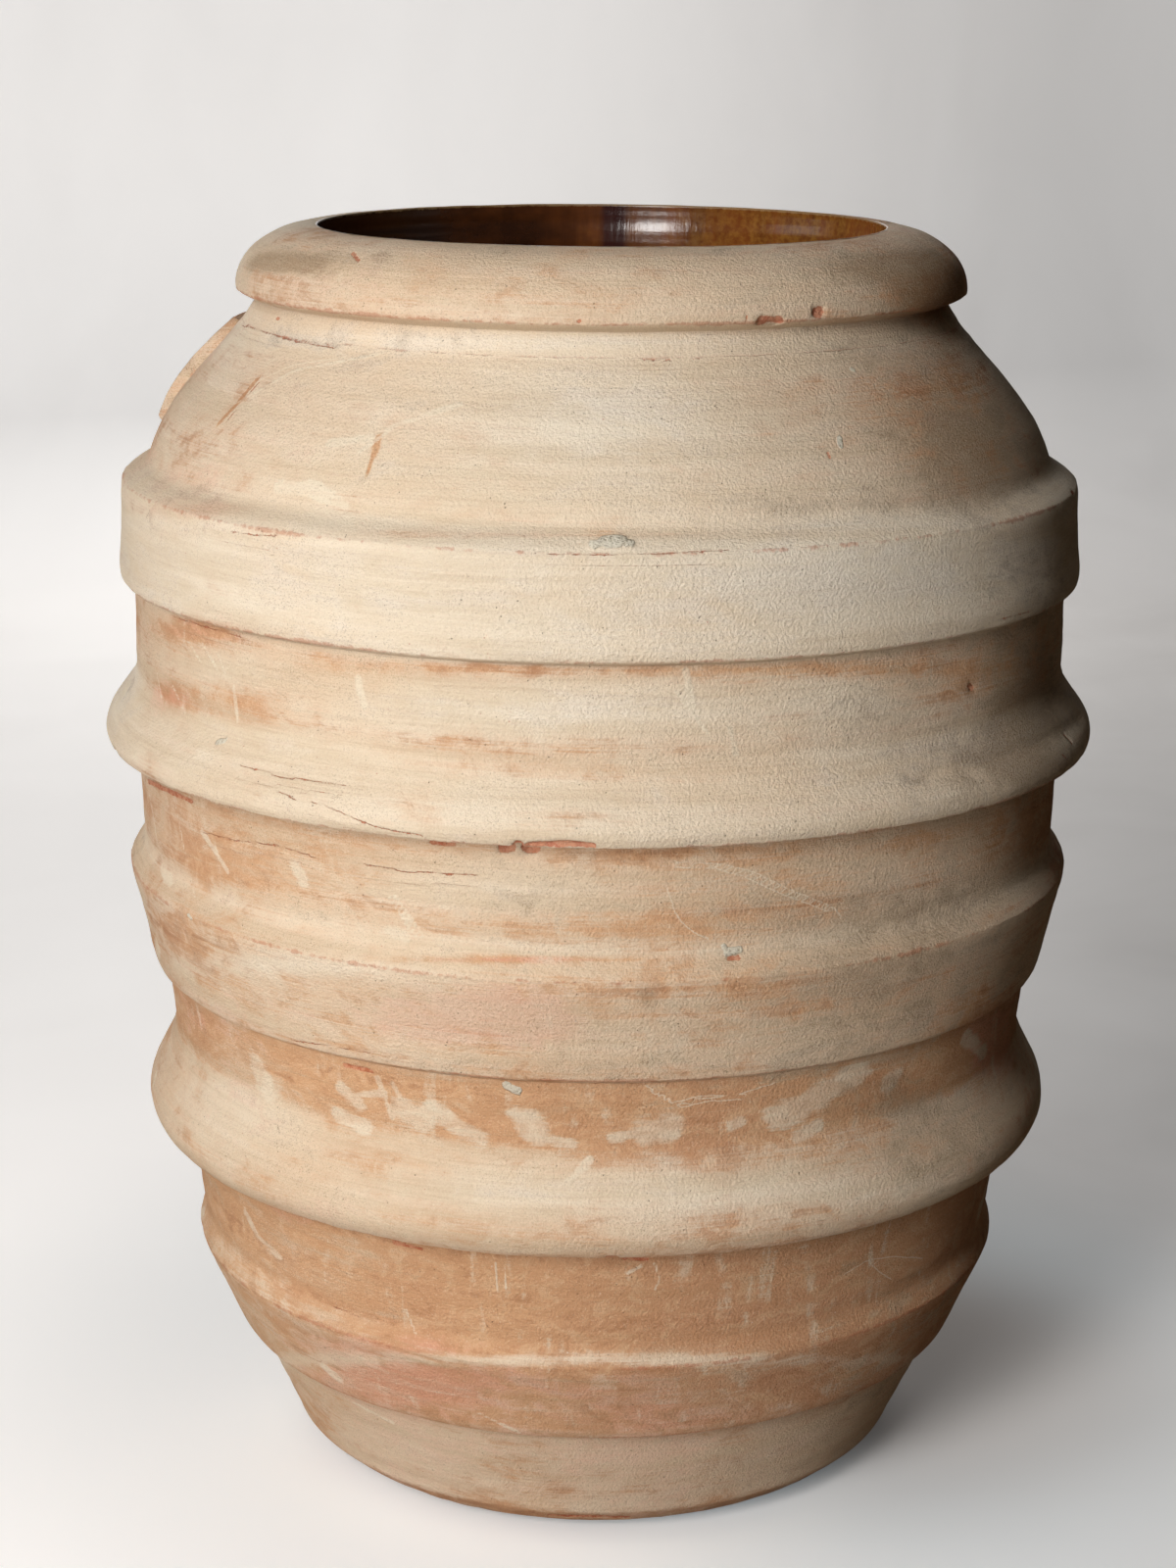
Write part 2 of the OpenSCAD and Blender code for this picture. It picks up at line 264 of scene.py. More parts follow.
fine, edge_on, turn = drawn(points)
owner = np.array(owner_of_edge)[edge_on]
edge_start = np.searchsorted(edge_on, np.arange(len(points) - 1))
along = run_of(fine)
hollow = 1 + np.flatnonzero(turn < -CORNER)
print("skin", round(along[-1], 3), "m,", len(hollow), "hollows")

# %% Blurring the corners
STEEP = 0.3                   # the wall over a strap leans out by less than this to a step up
over_strap = [p for p in hollow
              if points[p + 1, 0] - points[p, 0] < STEEP * (points[p + 1, 1] - points[p, 1])]
HALF_WINDOW = 32              # the blur looks so many fine steps both ways


def near(spots, reach):
    """1 at each of the given lengths along the skin, falling off like a bell within reach."""
    return np.exp(-((along[:, None] - spots) / reach) ** 2).max(axis=1)


def window(half):
    """For each fine point, the numbers of the points up to half steps before and after it."""
    steps = np.arange(-half, half + 1)
    return steps, np.clip(np.arange(len(fine))[:, None] + steps, 0, len(fine) - 1)


thumb = along[edge_start[over_strap]]
blur = MM * (0.45 + 0.3 * near(along[edge_start[hollow]], 5 * MM) + 2.6 * near(thumb, 9 * MM))
reach, around = window(HALF_WINDOW)
weight = np.exp(-(reach * STEP) ** 2 / (2 * blur[:, None] ** 2))
soft = (fine[around] * weight[..., None]).sum(1) / weight.sum(1)[:, None]
soft[:, 1] = np.clip(soft[:, 1], points[:, 1].min(), points[:, 1].max())
soft[[0, -1], 0] = 0

forward = unit(np.gradient(soft, axis=0))
outward = np.column_stack([forward[:, 1], -forward[:, 0]])
change = np.gradient(forward, axis=0) / STEP
bend = np.linalg.norm(change, axis=1)
curl = forward[:, 0] * change[:, 1] - forward[:, 1] * change[:, 0]

# A knock takes clay off along a direction that turns slowly, over some way each side of an edge.
KNOCK_WIDTH = 5 * MM
knock = unit((outward[around] * np.exp(-(reach * STEP / KNOCK_WIDTH) ** 2)[:, None]).sum(1))

# An arris is a spot that bends outward more sharply than a given radius and than all around it.
ARRIS_RADIUS = 8 * MM
arris = np.flatnonzero((curl > 1 / ARRIS_RADIUS) & (curl >= curl[window(8)[1]].max(axis=1)))
edge_worn = near(along[arris], 3.5 * MM)
print(len(arris), "arrises at heights", soft[arris, 1].round(3).tolist())

# %% [markdown]
# ## Where the rings go
#
# Every piece takes its own stretch of the skin, and neighbours share the ring between them, so
# no gap can open. Rings are packed close where the skin bends sharply and spaced out where it
# runs straight.

# %% The rings of one piece
COLUMNS = 900
GLAZE_COLUMNS = 300
TOP = points[:, 1].max()
THROAT = 0.07                 # metres under the mouth down to which the glaze is seen from near
FLATNESS = 0.03 * MM          # how far the skin may stray from a straight step between rings


def rings_of(node):
    """Places in the fine line of the piece's rings: as many to a millimetre as keep the straight
    steps between them within FLATNESS of the curve, from 0.7 to 2.6 mm apart. Deep inside, where
    nobody looks closely, they are up to 9 mm apart."""
    mine = np.flatnonzero(owner == node)
    first, last = mine[0], min(mine[-1] + 1, len(soft) - 1)
    gap = np.sqrt(8 * FLATNESS / np.maximum(bend[first:last + 1], 1e-3)).clip(0.7 * MM, 2.6 * MM)
    if node == "glaze_lining":
        gap = np.where(soft[first:last + 1, 1] > TOP - THROAT, 1.1 * MM, 9 * MM)
    count = np.concatenate([[0], np.cumsum(STEP / gap[:-1])])
    rings = np.interp(np.linspace(0, count[-1], math.ceil(count[-1]) + 1), count,
                      np.arange(first, last + 1))
    rings[[0, -1]] = first, last
    return rings


def read(values, place):
    """Values of the fine line at fractional places."""
    index = np.arange(len(values))
    if values.ndim == 1:
        return np.interp(place, index, values)
    return np.column_stack([np.interp(place, index, values[:, k]) for k in range(values.shape[1])])


print({node: len(rings_of(node)) for node in outlines})

# %% [markdown]
# ## Hand-made shape
#
# Nothing on the jar is quite round. Three kinds of unevenness are laid over the outline. The
# whole jar is a little out of round, hidden faces included, so joints stay shut. The shown
# clay has lumps and throwing lines. The edges wander and have lost small flakes.
#
# All of it comes from one smooth noise: a seeded table of random numbers that closes round the
# jar, with soft steps between them.

# %% Smooth noise that closes round the jar
TABLE_ROWS = 257              # rows of random numbers before they repeat
FIRST_ROW = 40.5              # where in the table the height 0 lies


def cloud(lap, height, cells, tall, seed):
    """Random numbers from -1 to 1 on a grid of so many cells round the jar, each so tall, and
    between them the smooth step 3t^2 - 2t^3 both ways. A lap is a share of a whole turn."""
    table = np.random.default_rng(seed).uniform(-1, 1, (TABLE_ROWS, cells))
    x, y = lap * cells, height / tall + FIRST_ROW
    i, j = np.floor(x).astype(int), np.floor(y).astype(int)
    x, y = x - i, y - j
    x, y = x * x * (3 - 2 * x), y * y * (3 - 2 * y)
    row, next_row, column, next_column = j % TABLE_ROWS, (j + 1) % TABLE_ROWS, i % cells, (i + 1) % cells
    low = table[row, column] * (1 - x) + table[row, next_column] * x
    high = table[next_row, column] * (1 - x) + table[next_row, next_column] * x
    return low * (1 - y) + high * y


def clouds(lap, height, cells, tall, seed, layers=3):
    """Layers of noise, each twice as fine and half as strong as the one before."""
    total, strength = 0, 1
    for layer in range(layers):
        total = total + strength * cloud(lap, height, cells, tall, seed + layer)
        cells, tall, strength = cells * 2, tall / 2, strength / 2
    return total / (2 - 2 * strength)


def round_jar(radius, angle, height):
    """Places at an angle round the jar, counted from the front towards the right."""
    return np.stack([radius * np.sin(angle), -radius * np.cos(angle), height + 0 * angle], axis=-1)


def settled(radius, height, lap):
    """Place in space: the ring drawn in by up to a millimetre where the jar is out of round, and
    its height shifted by up to 1.3 mm between the ground and the mouth, where it stays."""
    angle = 2 * math.pi * lap
    pinch = 0.5 * (1 - np.cos(2 * (angle - 0.9))) + 0.5 + 0.5 * cloud(lap, height, 3, 0.3, 11)
    radius = radius * (1 - 0.0014 * pinch * part(radius / 0.1))
    sway = cloud(lap, height, 4, 0.22, 12) + 0.4 * cloud(lap, height, 11, 0.12, 13)
    calm = part(height / 0.06) * part((TOP - height) / 0.06)
    return round_jar(radius, angle, height + 0.9 * MM * sway * calm)


def relief(place, lap):
    """How far the clay stands out of the soft line, in metres, at places along the skin."""
    s = read(along, place) + 0 * lap
    edge = read(edge_worn, place)
    lumps = 0.45 * clouds(lap, s, 14, 0.07, 21) + 0.16 * cloud(lap, s, 70, 0.02, 24)
    lines = 0.22 * cloud(lap, s + 0.012 * cloud(lap, s, 5, 0.3, 31), 5, 0.0062, 32)
    wander = 0.35 * clouds(lap, s, 26, 0.5, 41) - 0.3
    wander = wander + 0.25 * cloud(lap, s, 160, 0.01, 44)
    return (lumps + lines * (1 - edge) + wander * edge) * MM


# %% [markdown]
# ## Marks placed one by one
#
# Chips, cracks and smears are placed where the picture shows them. A line of sight leaves the
# camera through a point of the picture and is followed until it meets the jar.

# %% Where a line of sight meets the clay
LEVEL_STEP = 0.5 * MM
SIGHT_STEP = 0.3 * MM
NEAREST, FARTHEST = 1.7, 2.5  # depths in metres between which the jar is looked for

outside = soft[owner != "glaze_lining"]
widest = np.zeros(int(TOP / LEVEL_STEP) + 2)
np.maximum.at(widest, (outside[:, 1] / LEVEL_STEP).astype(int), outside[:, 0])
known = np.flatnonzero(widest)
widest = np.interp(np.arange(len(widest)), known, widest[known])


def widest_at(height):
    """The radius of the jar's outside at a height."""
    return np.interp(height, np.arange(len(widest)) * LEVEL_STEP, widest)


def seen_at(picture_points):
    """Where each point of the picture lies on the jar: short steps along its line of sight, up to
    the first that is nearer to the axis than the jar's outside at that height."""
    x, y = np.array(picture_points, float).T
    x, y = x - PICTURE[0] / 2 - SIDEWAYS_PX, y - PICTURE[1] / 2
    sight = ahead + np.outer(x / FOCAL_PX, right) - np.outer(y / FOCAL_PX, up)
    depth = np.arange(NEAREST, FARTHEST, SIGHT_STEP)
    place = eye + sight[:, None] * depth[:, None]
    inside = np.hypot(place[..., 0], place[..., 1]) - widest_at(place[..., 2])
    hit = np.where((inside < 0).any(axis=1), (inside < 0).argmax(axis=1), inside.argmin(axis=1))
    return place[np.arange(len(hit)), hit]


print("middle of the picture on the jar:", seen_at([(600, 800)]).round(3).tolist())

# %% [markdown]
# ## A list of marks
#
# Each mark is a path with a half width. What the shader needs is stored on the mesh as smooth
# values: how near a point is to the middle of a smear, or on which side of a crack it lies.
# The shader then cuts a crisp, ragged edge out of them, finer than the mesh itself. The far
# side of the jar gets marks of the same kinds, thrown by a seeded dice.

# %% Marks seen in the picture
SMEARS = [  # half width in mm, then x and y of each point in pixels: dabs of slip
    (1.6, 240, 412, 300, 378, 392, 360), (4, 335, 452, 378, 446), (7, 285, 495, 320, 500, 350, 515),
    (2, 365, 462, 398, 438), (3, 395, 436, 470, 412), (1.4, 877, 387, 915, 400, 960, 415),
    (13, 537, 1143, 547, 1154), (6, 552, 1163, 584, 1167), (13, 658, 1156, 685, 1150),
    (5, 624, 1162, 655, 1156), (13, 408, 1130, 432, 1142), (9, 440, 1132, 466, 1150, 490, 1160),
    (8, 350, 1112, 366, 1126), (7, 344, 1136, 372, 1150), (3, 385, 1100, 400, 1140),
    (3, 400, 1105, 425, 1150), (4, 580, 1205, 602, 1184), (15, 264, 1090, 274, 1112),
    (4, 362, 1118, 392, 1116), (13, 792, 1142, 838, 1118, 874, 1098), (7, 812, 1162, 834, 1150),
    (8, 985, 1060, 1005, 1075), (9, 905, 1106, 916, 1097), (6, 746, 1150, 756, 1146),
    (1.6, 190, 652, 205, 676), (1.6, 206, 656, 222, 684), (2, 158, 676, 164, 712),
    (1.8, 176, 700, 188, 728), (2, 238, 700, 242, 736), (2, 222, 668, 230, 690),
    (4, 365, 694, 371, 722), (3, 700, 684, 707, 724), (3, 745, 742, 751, 768), (2, 690, 705, 722, 748),
    (1.6, 396, 916, 426, 958), (2, 402, 914, 432, 956), (7, 398, 950, 412, 954),
    (2, 152, 812, 160, 860), (1.6, 176, 806, 186, 862, 198, 916), (3, 205, 848, 232, 890),
    (2, 218, 862, 226, 882), (7, 300, 884, 310, 900), (5, 165, 884, 174, 902),
    (1.4, 505, 1288, 509, 1325), (1.2, 514, 1292, 516, 1316), (2, 640, 1300, 655, 1292),
    (1.6, 668, 1290, 674, 1306, 668, 1316), (2, 488, 1442, 530, 1462),
    (5, 250, 1236, 262, 1262, 286, 1284), (2, 414, 1336, 424, 1362), (3, 360, 1432, 400, 1452),
    (6, 330, 1395, 346, 1408),
]
BARES = [  # the same: streaks where the slip is rubbed off
    (1.9, 262, 388, 242, 412, 224, 432), (2.8, 386, 446, 381, 464), (1.2, 380, 466, 374, 484),
]
CRACKS = [  # x and y of each point: dark hairlines
    (225, 541, 250, 545, 280, 547), (178, 630, 205, 638, 245, 650), (245, 782, 290, 793, 350, 801),
    (318, 818, 345, 828, 385, 845, 430, 853), (200, 848, 240, 858, 280, 862, 320, 875),
    (372, 883, 420, 890, 485, 893), (285, 808, 300, 815), (612, 367, 665, 368, 720, 366),
    (248, 332, 300, 348, 340, 355), (330, 1330, 365, 1343), (268, 386, 246, 412, 232, 430),
    (560, 565, 620, 566, 690, 564, 745, 560), (1024, 631, 1052, 624), (300, 1062, 380, 1075),
    (1084, 770, 1092, 780),
]
VEINS = [  # the same: thin pale lines
    (690, 880, 740, 882, 770, 890, 800, 905, 850, 925, 858, 935),
    (690, 885, 735, 887, 765, 897, 800, 913, 845, 930),
    (660, 1108, 690, 1125, 715, 1118, 750, 1118, 790, 1105),
    (664, 1114, 694, 1130, 722, 1124, 755, 1122), (681, 908, 690, 935, 705, 950, 722, 958),
    (262, 390, 300, 372, 352, 365), (862, 1300, 885, 1286, 910, 1282, 940, 1284),
    (884, 1287, 900, 1300, 908, 1304),
]
CHIPS = [  # half width and depth in mm, then the points: flakes lost from edges
    (5, 2.6, 778, 329, 794, 330), (4.2, 2.2, 834, 319, 838, 318), (1.6, 1, 762, 324, 763, 325),
    (4, 2.6, 512, 866, 528, 864, 546, 866), (3, 2, 540, 864, 575, 862, 604, 864),
    (2.5, 1.4, 440, 859, 462, 861), (2.2, 1, 150, 797, 195, 818), (1.6, 1, 590, 328, 592, 328),
    (2.2, 1.4, 1000, 355, 1006, 362), (2, 1.2, 744, 977, 754, 977), (2, 1, 400, 1268, 430, 1275),
    (2.2, 1, 620, 1284, 660, 1285), (3, 1.4, 560, 1547, 640, 1549), (2.4, 1.2, 990, 700, 993, 703),
    (1.8, 1, 350, 1087, 380, 1094), (2, 1, 1088, 748, 1094, 758), (1.8, 0.9, 360, 258, 366, 266),
    (1.6, 0.8, 282, 324, 284, 325), (1.8, 0.9, 845, 462, 847, 466), (2, 1, 1052, 1010, 1058, 1030),
]
GROOVES = [  # the same: a finger's dent along a strap
    (9, 1.6, 930, 795, 985, 786, 1035, 768, 1088, 745, 1104, 733),
]
# The last column is grime. On the right of the front, from x 850 on, and at (520, 348) under the rim, it
# is painted shade as well: it darkens the side away from the window and lays the rim's shadow on the
# collar.
WASHES = [  # middle and half size in pixels, then more slip, more blush, more grime and painted shade
    (210, 642, 50, 14, -0.45, 0.4, 0), (175, 712, 26, 24, -0.35, 0.6, 0),
    (250, 722, 50, 16, -0.3, 0.3, 0), (225, 684, 70, 14, 0.38, -0.1, 0),
    (610, 430, 80, 45, 0.25, -0.3, 0), (905, 905, 60, 26, 0.2, -0.3, 0.1),
    (860, 705, 70, 30, 0.3, -0.3, 0), (300, 1215, 120, 40, -0.15, 0.2, 0.05),
    (520, 348, 330, 12, 0.35, -0.5, 0.2), (230, 700, 170, 600, -0.05, 0.05, 0),
    (360, 1370, 120, 30, 0.15, 0.3, 0), (520, 925, 190, 40, 0.12, -0.3, 0.2),
    (560, 725, 260, 30, 0.5, -0.5, 0), (640, 682, 420, 8, -0.3, 0.1, 0),
    (640, 786, 170, 11, -0.25, 0.2, 0), (900, 690, 120, 40, -0.2, 0, 0.2),
    (250, 905, 90, 42, -0.08, 0.3, 0), (480, 905, 170, 30, 0.3, -0.3, 0),
    (860, 930, 170, 50, 0.05, -0.3, 0.45), (600, 945, 170, 24, -0.1, -0.4, 0),
    (520, 979, 140, 4, -0.4, 0.9, 0), (250, 1030, 80, 40, 0.1, 0.4, 0),
    (440, 1035, 110, 40, 0.05, 0.7, 0), (540, 1040, 70, 36, -0.05, 0.7, 0),
    (860, 1010, 170, 50, 0.05, -0.4, 0.6), (250, 1120, 60, 60, 0.3, 0.4, 0),
    (420, 1165, 150, 24, 0.1, 0.1, 0), (640, 1150, 150, 45, -0.2, -0.3, 0),
    (1010, 1060, 40, 40, -0.4, 1, 0), (880, 1115, 110, 40, 0.15, -0.3, 0.5),
    (700, 1330, 330, 60, -0.15, -0.3, 0), (290, 1290, 120, 50, 0.25, 0.25, 0),
    (430, 1400, 130, 40, -0.05, 0.8, 0), (640, 1430, 100, 40, -0.1, 0.4, 0.1),
    (600, 1387, 420, 8, 0.5, -0.4, 0), (420, 1480, 90, 50, 0.15, 0.3, -0.2),
    (640, 1500, 260, 60, 0.1, 0.3, -0.5), (300, 425, 150, 70, -0.05, 0.2, 0),
    (640, 440, 160, 60, 0.1, -0.4, 0), (420, 285, 200, 26, -0.1, 0.3, 0),
    (300, 985, 150, 12, 0.3, -0.2, 0), (640, 1215, 330, 22, 0.4, -0.3, 0),
    (330, 1230, 120, 30, 0, 0.3, 0), (250, 765, 110, 30, 0.05, 0.2, 0), (288, 268, 52, 11, 0, 0, 1.1),
    (640, 258, 170, 6, 0, 0, 0.4), (915, 272, 80, 17, 0, -0.2, 1.1), (960, 300, 50, 30, -0.5, 0.2, 1.3),
    (940, 400, 90, 60, -0.25, 0.15, 0.5), (990, 470, 70, 50, -0.2, 0.1, 0.9),
    (860, 515, 150, 12, 0, 0.1, 0.4), (840, 430, 110, 70, -0.1, 0.1, 0),
    (170, 492, 50, 20, -0.1, 0.3, 0.3), (1020, 600, 60, 60, 0, 0, 0.4),
    (930, 725, 130, 45, 0.1, -0.2, 0.1), (890, 580, 140, 50, 0.2, -0.2, -0.15),
    (1050, 720, 46, 90, 0, 0, 0.8), (170, 745, 44, 30, 0, -0.2, 0), (1000, 785, 100, 30, 0, 0, 0.35),
    (560, 1088, 160, 12, 0, 0, 0.3), (940, 1180, 130, 60, 0, 0, 0.4), (900, 1310, 100, 40, 0, 0, 0.3),
    (850, 1400, 120, 40, 0, 0, 0.3), (700, 1515, 150, 26, 0, 0, 0.1),
    (205, 520, 60, 10, -0.4, 0.3, 0.2), (640, 545, 400, 6, -0.3, 0.2, 0.1),
    (660, 1018, 12, 12, 0, -0.6, 0.6),
]
LIMES = [  # half width in mm, then the points: lumps and splats of lime
    (3.4, 606, 556, 643, 555), (4.6, 616, 552, 634, 551), (2.5, 742, 972, 755, 969),
    (1.8, 738, 965, 744, 972), (3.4, 517, 1107, 527, 1113), (1.8, 191, 934, 195, 938),
    (2, 868, 376, 872, 378), (2.2, 221, 757, 229, 755), (2.4, 857, 447, 858, 455),
]
LUMP_LIMES = 2                # the first so many of them stand out from the wall


def picture_path(path):
    """The path with a point at least every 8 pixels, laid on the jar."""
    path = np.array(path, float).reshape(-1, 2)
    run = run_of(path)
    dense = np.linspace(0, run[-1], max(2, int(run[-1] / 8) + 1))
    return seen_at(np.column_stack([np.interp(dense, run, path[:, k]) for k in (0, 1)]))


# %% Marks of the same kinds on the far side, thrown with a seed
BACK_HALF = 1.9               # radians both ways from the middle of the back
BACK_RADIUS = 0.32            # metres, to turn a length into an angle
BACK_SMEARS, BACK_CRACKS, BACK_VEINS, BACK_CHIPS = 40, 9, 7, 30
dice = np.random.default_rng(5)


def back_path(length, slant):
    """A short path thrown onto the far side of the jar, as a row of points."""
    angle = math.pi + dice.uniform(-BACK_HALF, BACK_HALF)
    height = float(np.clip(dice.normal(0.38, 0.18), 0.05, 0.8))
    t = np.linspace(-0.5, 0.5, 7)
    height = height + slant * length * t + 0.1 * length * np.cumsum(dice.normal(0, 0.3, 7))
    return round_jar(widest_at(height), angle + length * t / BACK_RADIUS, height)


smears = [(wide, picture_path(path)) for wide, *path in SMEARS]
smears += [(dice.uniform(2.5, 13), back_path(dice.uniform(0.008, 0.045), dice.uniform(-2, 2)))
           for _ in range(BACK_SMEARS)]
lines = [(1, picture_path(path)) for path in CRACKS] + [(-1, picture_path(path)) for path in VEINS]
lines += [(kind, back_path(dice.uniform(0.04, 0.12), dice.uniform(-0.3, 0.3)))
          for kind in [1] * BACK_CRACKS + [-1] * BACK_VEINS]
chips, grooves = ([(wide, deep, picture_path(path)) for wide, deep, *path in marks]
                  for marks in (CHIPS, GROOVES))
for spot in soft[dice.choice(arris, BACK_CHIPS)]:
    angle = math.pi + dice.uniform(-BACK_HALF, BACK_HALF)
    span = angle + np.linspace(0, dice.uniform(0.01, 0.05), 4)
    chips.append((dice.uniform(1.5, 3), dice.uniform(0.8, 1.8), round_jar(spot[0], span, spot[1])))
limes, bares = ([(wide, picture_path(path)) for wide, *path in marks] for marks in (LIMES, BARES))

# The open join under the collar shows all round as a faint line.
join = soft[np.flatnonzero(owner == "neck_collar")[0]]
lines.append((0.3, round_jar(join[0], np.linspace(0, 2 * math.pi, 121), join[1])))
print(len(smears), "smears,", len(lines), "lines,", len(chips), "chips,", len(limes), "limes")


# %% Broad washes, laid on from the front
def washed(place):
    """More or less slip, blush, and grime with painted shade at each point: bells of the given sizes
    in the picture, on what faces the camera, and on the far side a seeded noise instead."""
    sight = place - eye
    depth = sight @ ahead
    x = PICTURE[0] / 2 + SIDEWAYS_PX + FOCAL_PX * (sight @ right) / depth
    y = PICTURE[1] / 2 - FOCAL_PX * (sight @ up) / depth
    radius = np.maximum(np.hypot(place[..., 0], place[..., 1]), 1e-6)
    facing = -(sight[..., 0] * place[..., 0] + sight[..., 1] * place[..., 1]) / radius
    facing = part(facing / np.linalg.norm(sight, axis=-1) / 0.25)
    lap = np.arctan2(place[..., 0], -place[..., 1]) / (2 * math.pi) % 1
    amounts = [strength * (1 - facing) * clouds(lap, place[..., 2], 9, tall, seed)
               for strength, tall, seed in ((0.45, 0.05, 91), (0.7, 0.06, 95), (0.5, 0.04, 98))]
    for x0, y0, wide, tall, *more in WASHES:
        bell = facing * np.exp(-((x - x0) / wide) ** 2 - ((y - y0) / tall) ** 2)
        amounts = [amount + extra * bell for amount, extra in zip(amounts, more)]
    return amounts


# %% How near a point is to a mark
def closest(place, path, reach):
    """For the points of place within reach of the path: which they are, how far off, where the
    nearest spot lies along the path from 0 to 1, and the segment's direction there."""
    low, high = path.min(0) - reach, path.max(0) + reach
    which = np.flatnonzero(((place > low) & (place < high)).all(axis=-1).ravel())
    here = place.reshape(-1, 3)[which]
    best, run = np.full(len(which), np.inf), np.zeros(len(which))
    way, foot = np.zeros((len(which), 3)), np.zeros((len(which), 3))
    for k, (a, b) in enumerate(zip(path[:-1], path[1:])):
        step = b - a
        share = (here - a) @ step / max(step @ step, 1e-12)
        spot = a + part(share)[:, None] * step
        off = np.linalg.norm(here - spot, axis=1)
        nearer = off < best
        best[nearer], run[nearer] = off[nearer], (k + share[nearer]) / (len(path) - 1)
        way[nearer], foot[nearer] = step / max(np.linalg.norm(step), 1e-9), spot[nearer]
    return which, best, run, way, foot


def level(place, marks):
    """The highest of the marks at each point: 1 on a mark's path, 0 at its half width from it,
    and falling on to -1 at twice that."""
    top = np.full(place.shape[:-1], -1.0).ravel()
    for wide, path in marks:
        which, off, _, _, _ = closest(place, path, 2 * wide * MM)
        top[which] = np.maximum(top[which], 1 - off / (wide * MM))
    return top.reshape(place.shape[:-1])


LINE_REACH = 8 * MM


def line_marks(place):
    """Signed distance from the nearest crack or vein in units of LINE_REACH, plus on one side of
    it and minus on the other, and whether there is one: 1 for a crack, -1 for a vein, else 0."""
    side, here = np.ones(place.shape[:-1]).ravel(), np.zeros(place.shape[:-1]).ravel()
    normal = (place * [1, 1, 0]).reshape(-1, 3)
    for kind, path in lines:
        which, off, run, way, foot = closest(place, path, LINE_REACH)
        spot = place.reshape(-1, 3)[which] - foot
        sign = np.sign((np.cross(way, spot) * normal[which]).sum(1))
        inside = part(np.minimum(run, 1 - run) * (len(path) - 1) * 3 + 1)
        better = off < np.abs(side[which]) * LINE_REACH
        side[which[better]] = (sign * off / LINE_REACH)[better]
        here[which[better]] = (kind * inside)[better]
    return side.reshape(place.shape[:-1]), here.reshape(place.shape[:-1])


# %% [markdown]
# ## Making the pieces
#
# A piece is a closed band: its shown rings, then the hidden ones of the measured outline that
# lead back through the joint. The rings at both ends of the shown stretch are shaded crisply,
# so that the hidden faces don't darken the seam.

# %% Rings to mesh
SLIP = {"base_slab": 0.4, "foot_course": 0.6, "strap_5_flat": 0.36, "lower_course": 0.16,
        "strap_4_roll": 0.66, "hip_course": 0.26, "strap_3_flat": 0.64, "belly_course": 0.52,
        "strap_2_roll": 0.92, "upper_course": 0.65, "strap_1_flat": 1.05, "shoulder_course": 0.85,
        "neck_collar": 0.85, "rolled_rim": 0.7, "glaze_lining": 0.5}
slip_on_skin = np.array([SLIP[node] for node in owner])
slip_on_skin = slip_on_skin + 0.3 * near(thumb + 3 * MM, 7 * MM) * (slip_on_skin < 0.75)
SLIP_SPREAD = 9               # fine steps over which the slip of neighbours runs together
steps, around = window(24)
bell = np.exp(-(steps / SLIP_SPREAD) ** 2)
slip_on_skin = (slip_on_skin[around] * bell).sum(1) / bell.sum()


def put_in_scene(name, points, faces, finish, values):
    """A smooth object with its finish, from points and faces, and values stored at the points."""
    mesh = bpy.data.meshes.new(name)
    mesh.from_pydata(points, [], faces)
    mesh.polygons.foreach_set("use_smooth", np.ones(len(faces), bool))
    for key, value in values.items():
        store = mesh.attributes.new(key, "FLOAT", "POINT").data
        store.foreach_set("value", value.astype(np.float32))
    item = bpy.data.objects.new(name, mesh)
    bpy.context.scene.collection.objects.link(item)
    item.data.materials.append(finish)
    return item


def ringed(name, grid, values, seams, finish):
    """A closed skin from rings of points, shaped (rings, columns, 3). A ring that is all one
    point becomes a pole, with triangles round it. The last ring joins the first one."""
    rings, columns = grid.shape[:2]
    pole = np.ptp(grid, axis=1).max(axis=1) < 1e-7
    keep = np.ones((rings, columns), bool)
    keep[pole, 1:] = False
    index = (np.cumsum(keep.ravel()) - 1).reshape(rings, columns)
    index[pole] = index[pole][:, :1]
    a, b = index, np.roll(index, -1, axis=1)
    d, c = np.roll(a, -1, axis=0), np.roll(b, -1, axis=0)
    cell = np.stack([a, b, c, d], axis=-1).reshape(-1, 4)
    low, high = cell[:, 0] == cell[:, 1], cell[:, 2] == cell[:, 3]
    quads = cell[~low & ~high]
    fans = np.concatenate([cell[low & ~high][:, [0, 2, 3]], cell[high & ~low][:, :3]])
    item = put_in_scene(name, grid[keep], quads.tolist() + fans.tolist(), finish,
                        {key: value[keep] for key, value in values.items()})
    mesh = item.data
    ends = np.empty(len(mesh.edges) * 2, np.int32)
    mesh.edges.foreach_get("vertices", ends)
    ring_of = np.repeat(np.arange(rings), columns).reshape(rings, columns)[keep][ends].reshape(-1, 2)
    crisp = (ring_of[:, 0] == ring_of[:, 1]) & np.isin(ring_of[:, 0], seams)
    mesh.attributes.new("sharp_edge", "BOOLEAN", "EDGE").data.foreach_set("value", crisp)
    return item


# %% What stands out of the line, and what is cut away
def glaze_lift(line, s, lap):
    """Thrown rings in the throat, which fade out at its edge, over slow waves."""
    radius, z = line[:, :1], line[:, 1:]
    rings = 0.45 * cloud(lap, s + 0.004 * cloud(lap, s, 4, 0.2, 62), 3, 0.007, 61)
    rings = rings * MM * part((z - TOP + THROAT) / 0.02) * part((TOP - z) / 0.004)
    return rings + 0.3 * MM * clouds(lap, s, 12, 0.2, 63) * part(radius / 0.1)


def clay_lift(place, plain, s, lap):
    """The relief, less the grooves, plus the lumps of lime."""
    lift = relief(place[:, None], lap)
    for wide, depth, path in grooves:
        lift = lift - depth * MM * part(level(plain, [(wide, path)])) ** 1.5
    lump = level(plain, limes[:LUMP_LIMES]) * 2 + 0.7 * cloud(lap, s, 420, 0.005, 74)
    return lift + 2.6 * MM * part(lump)


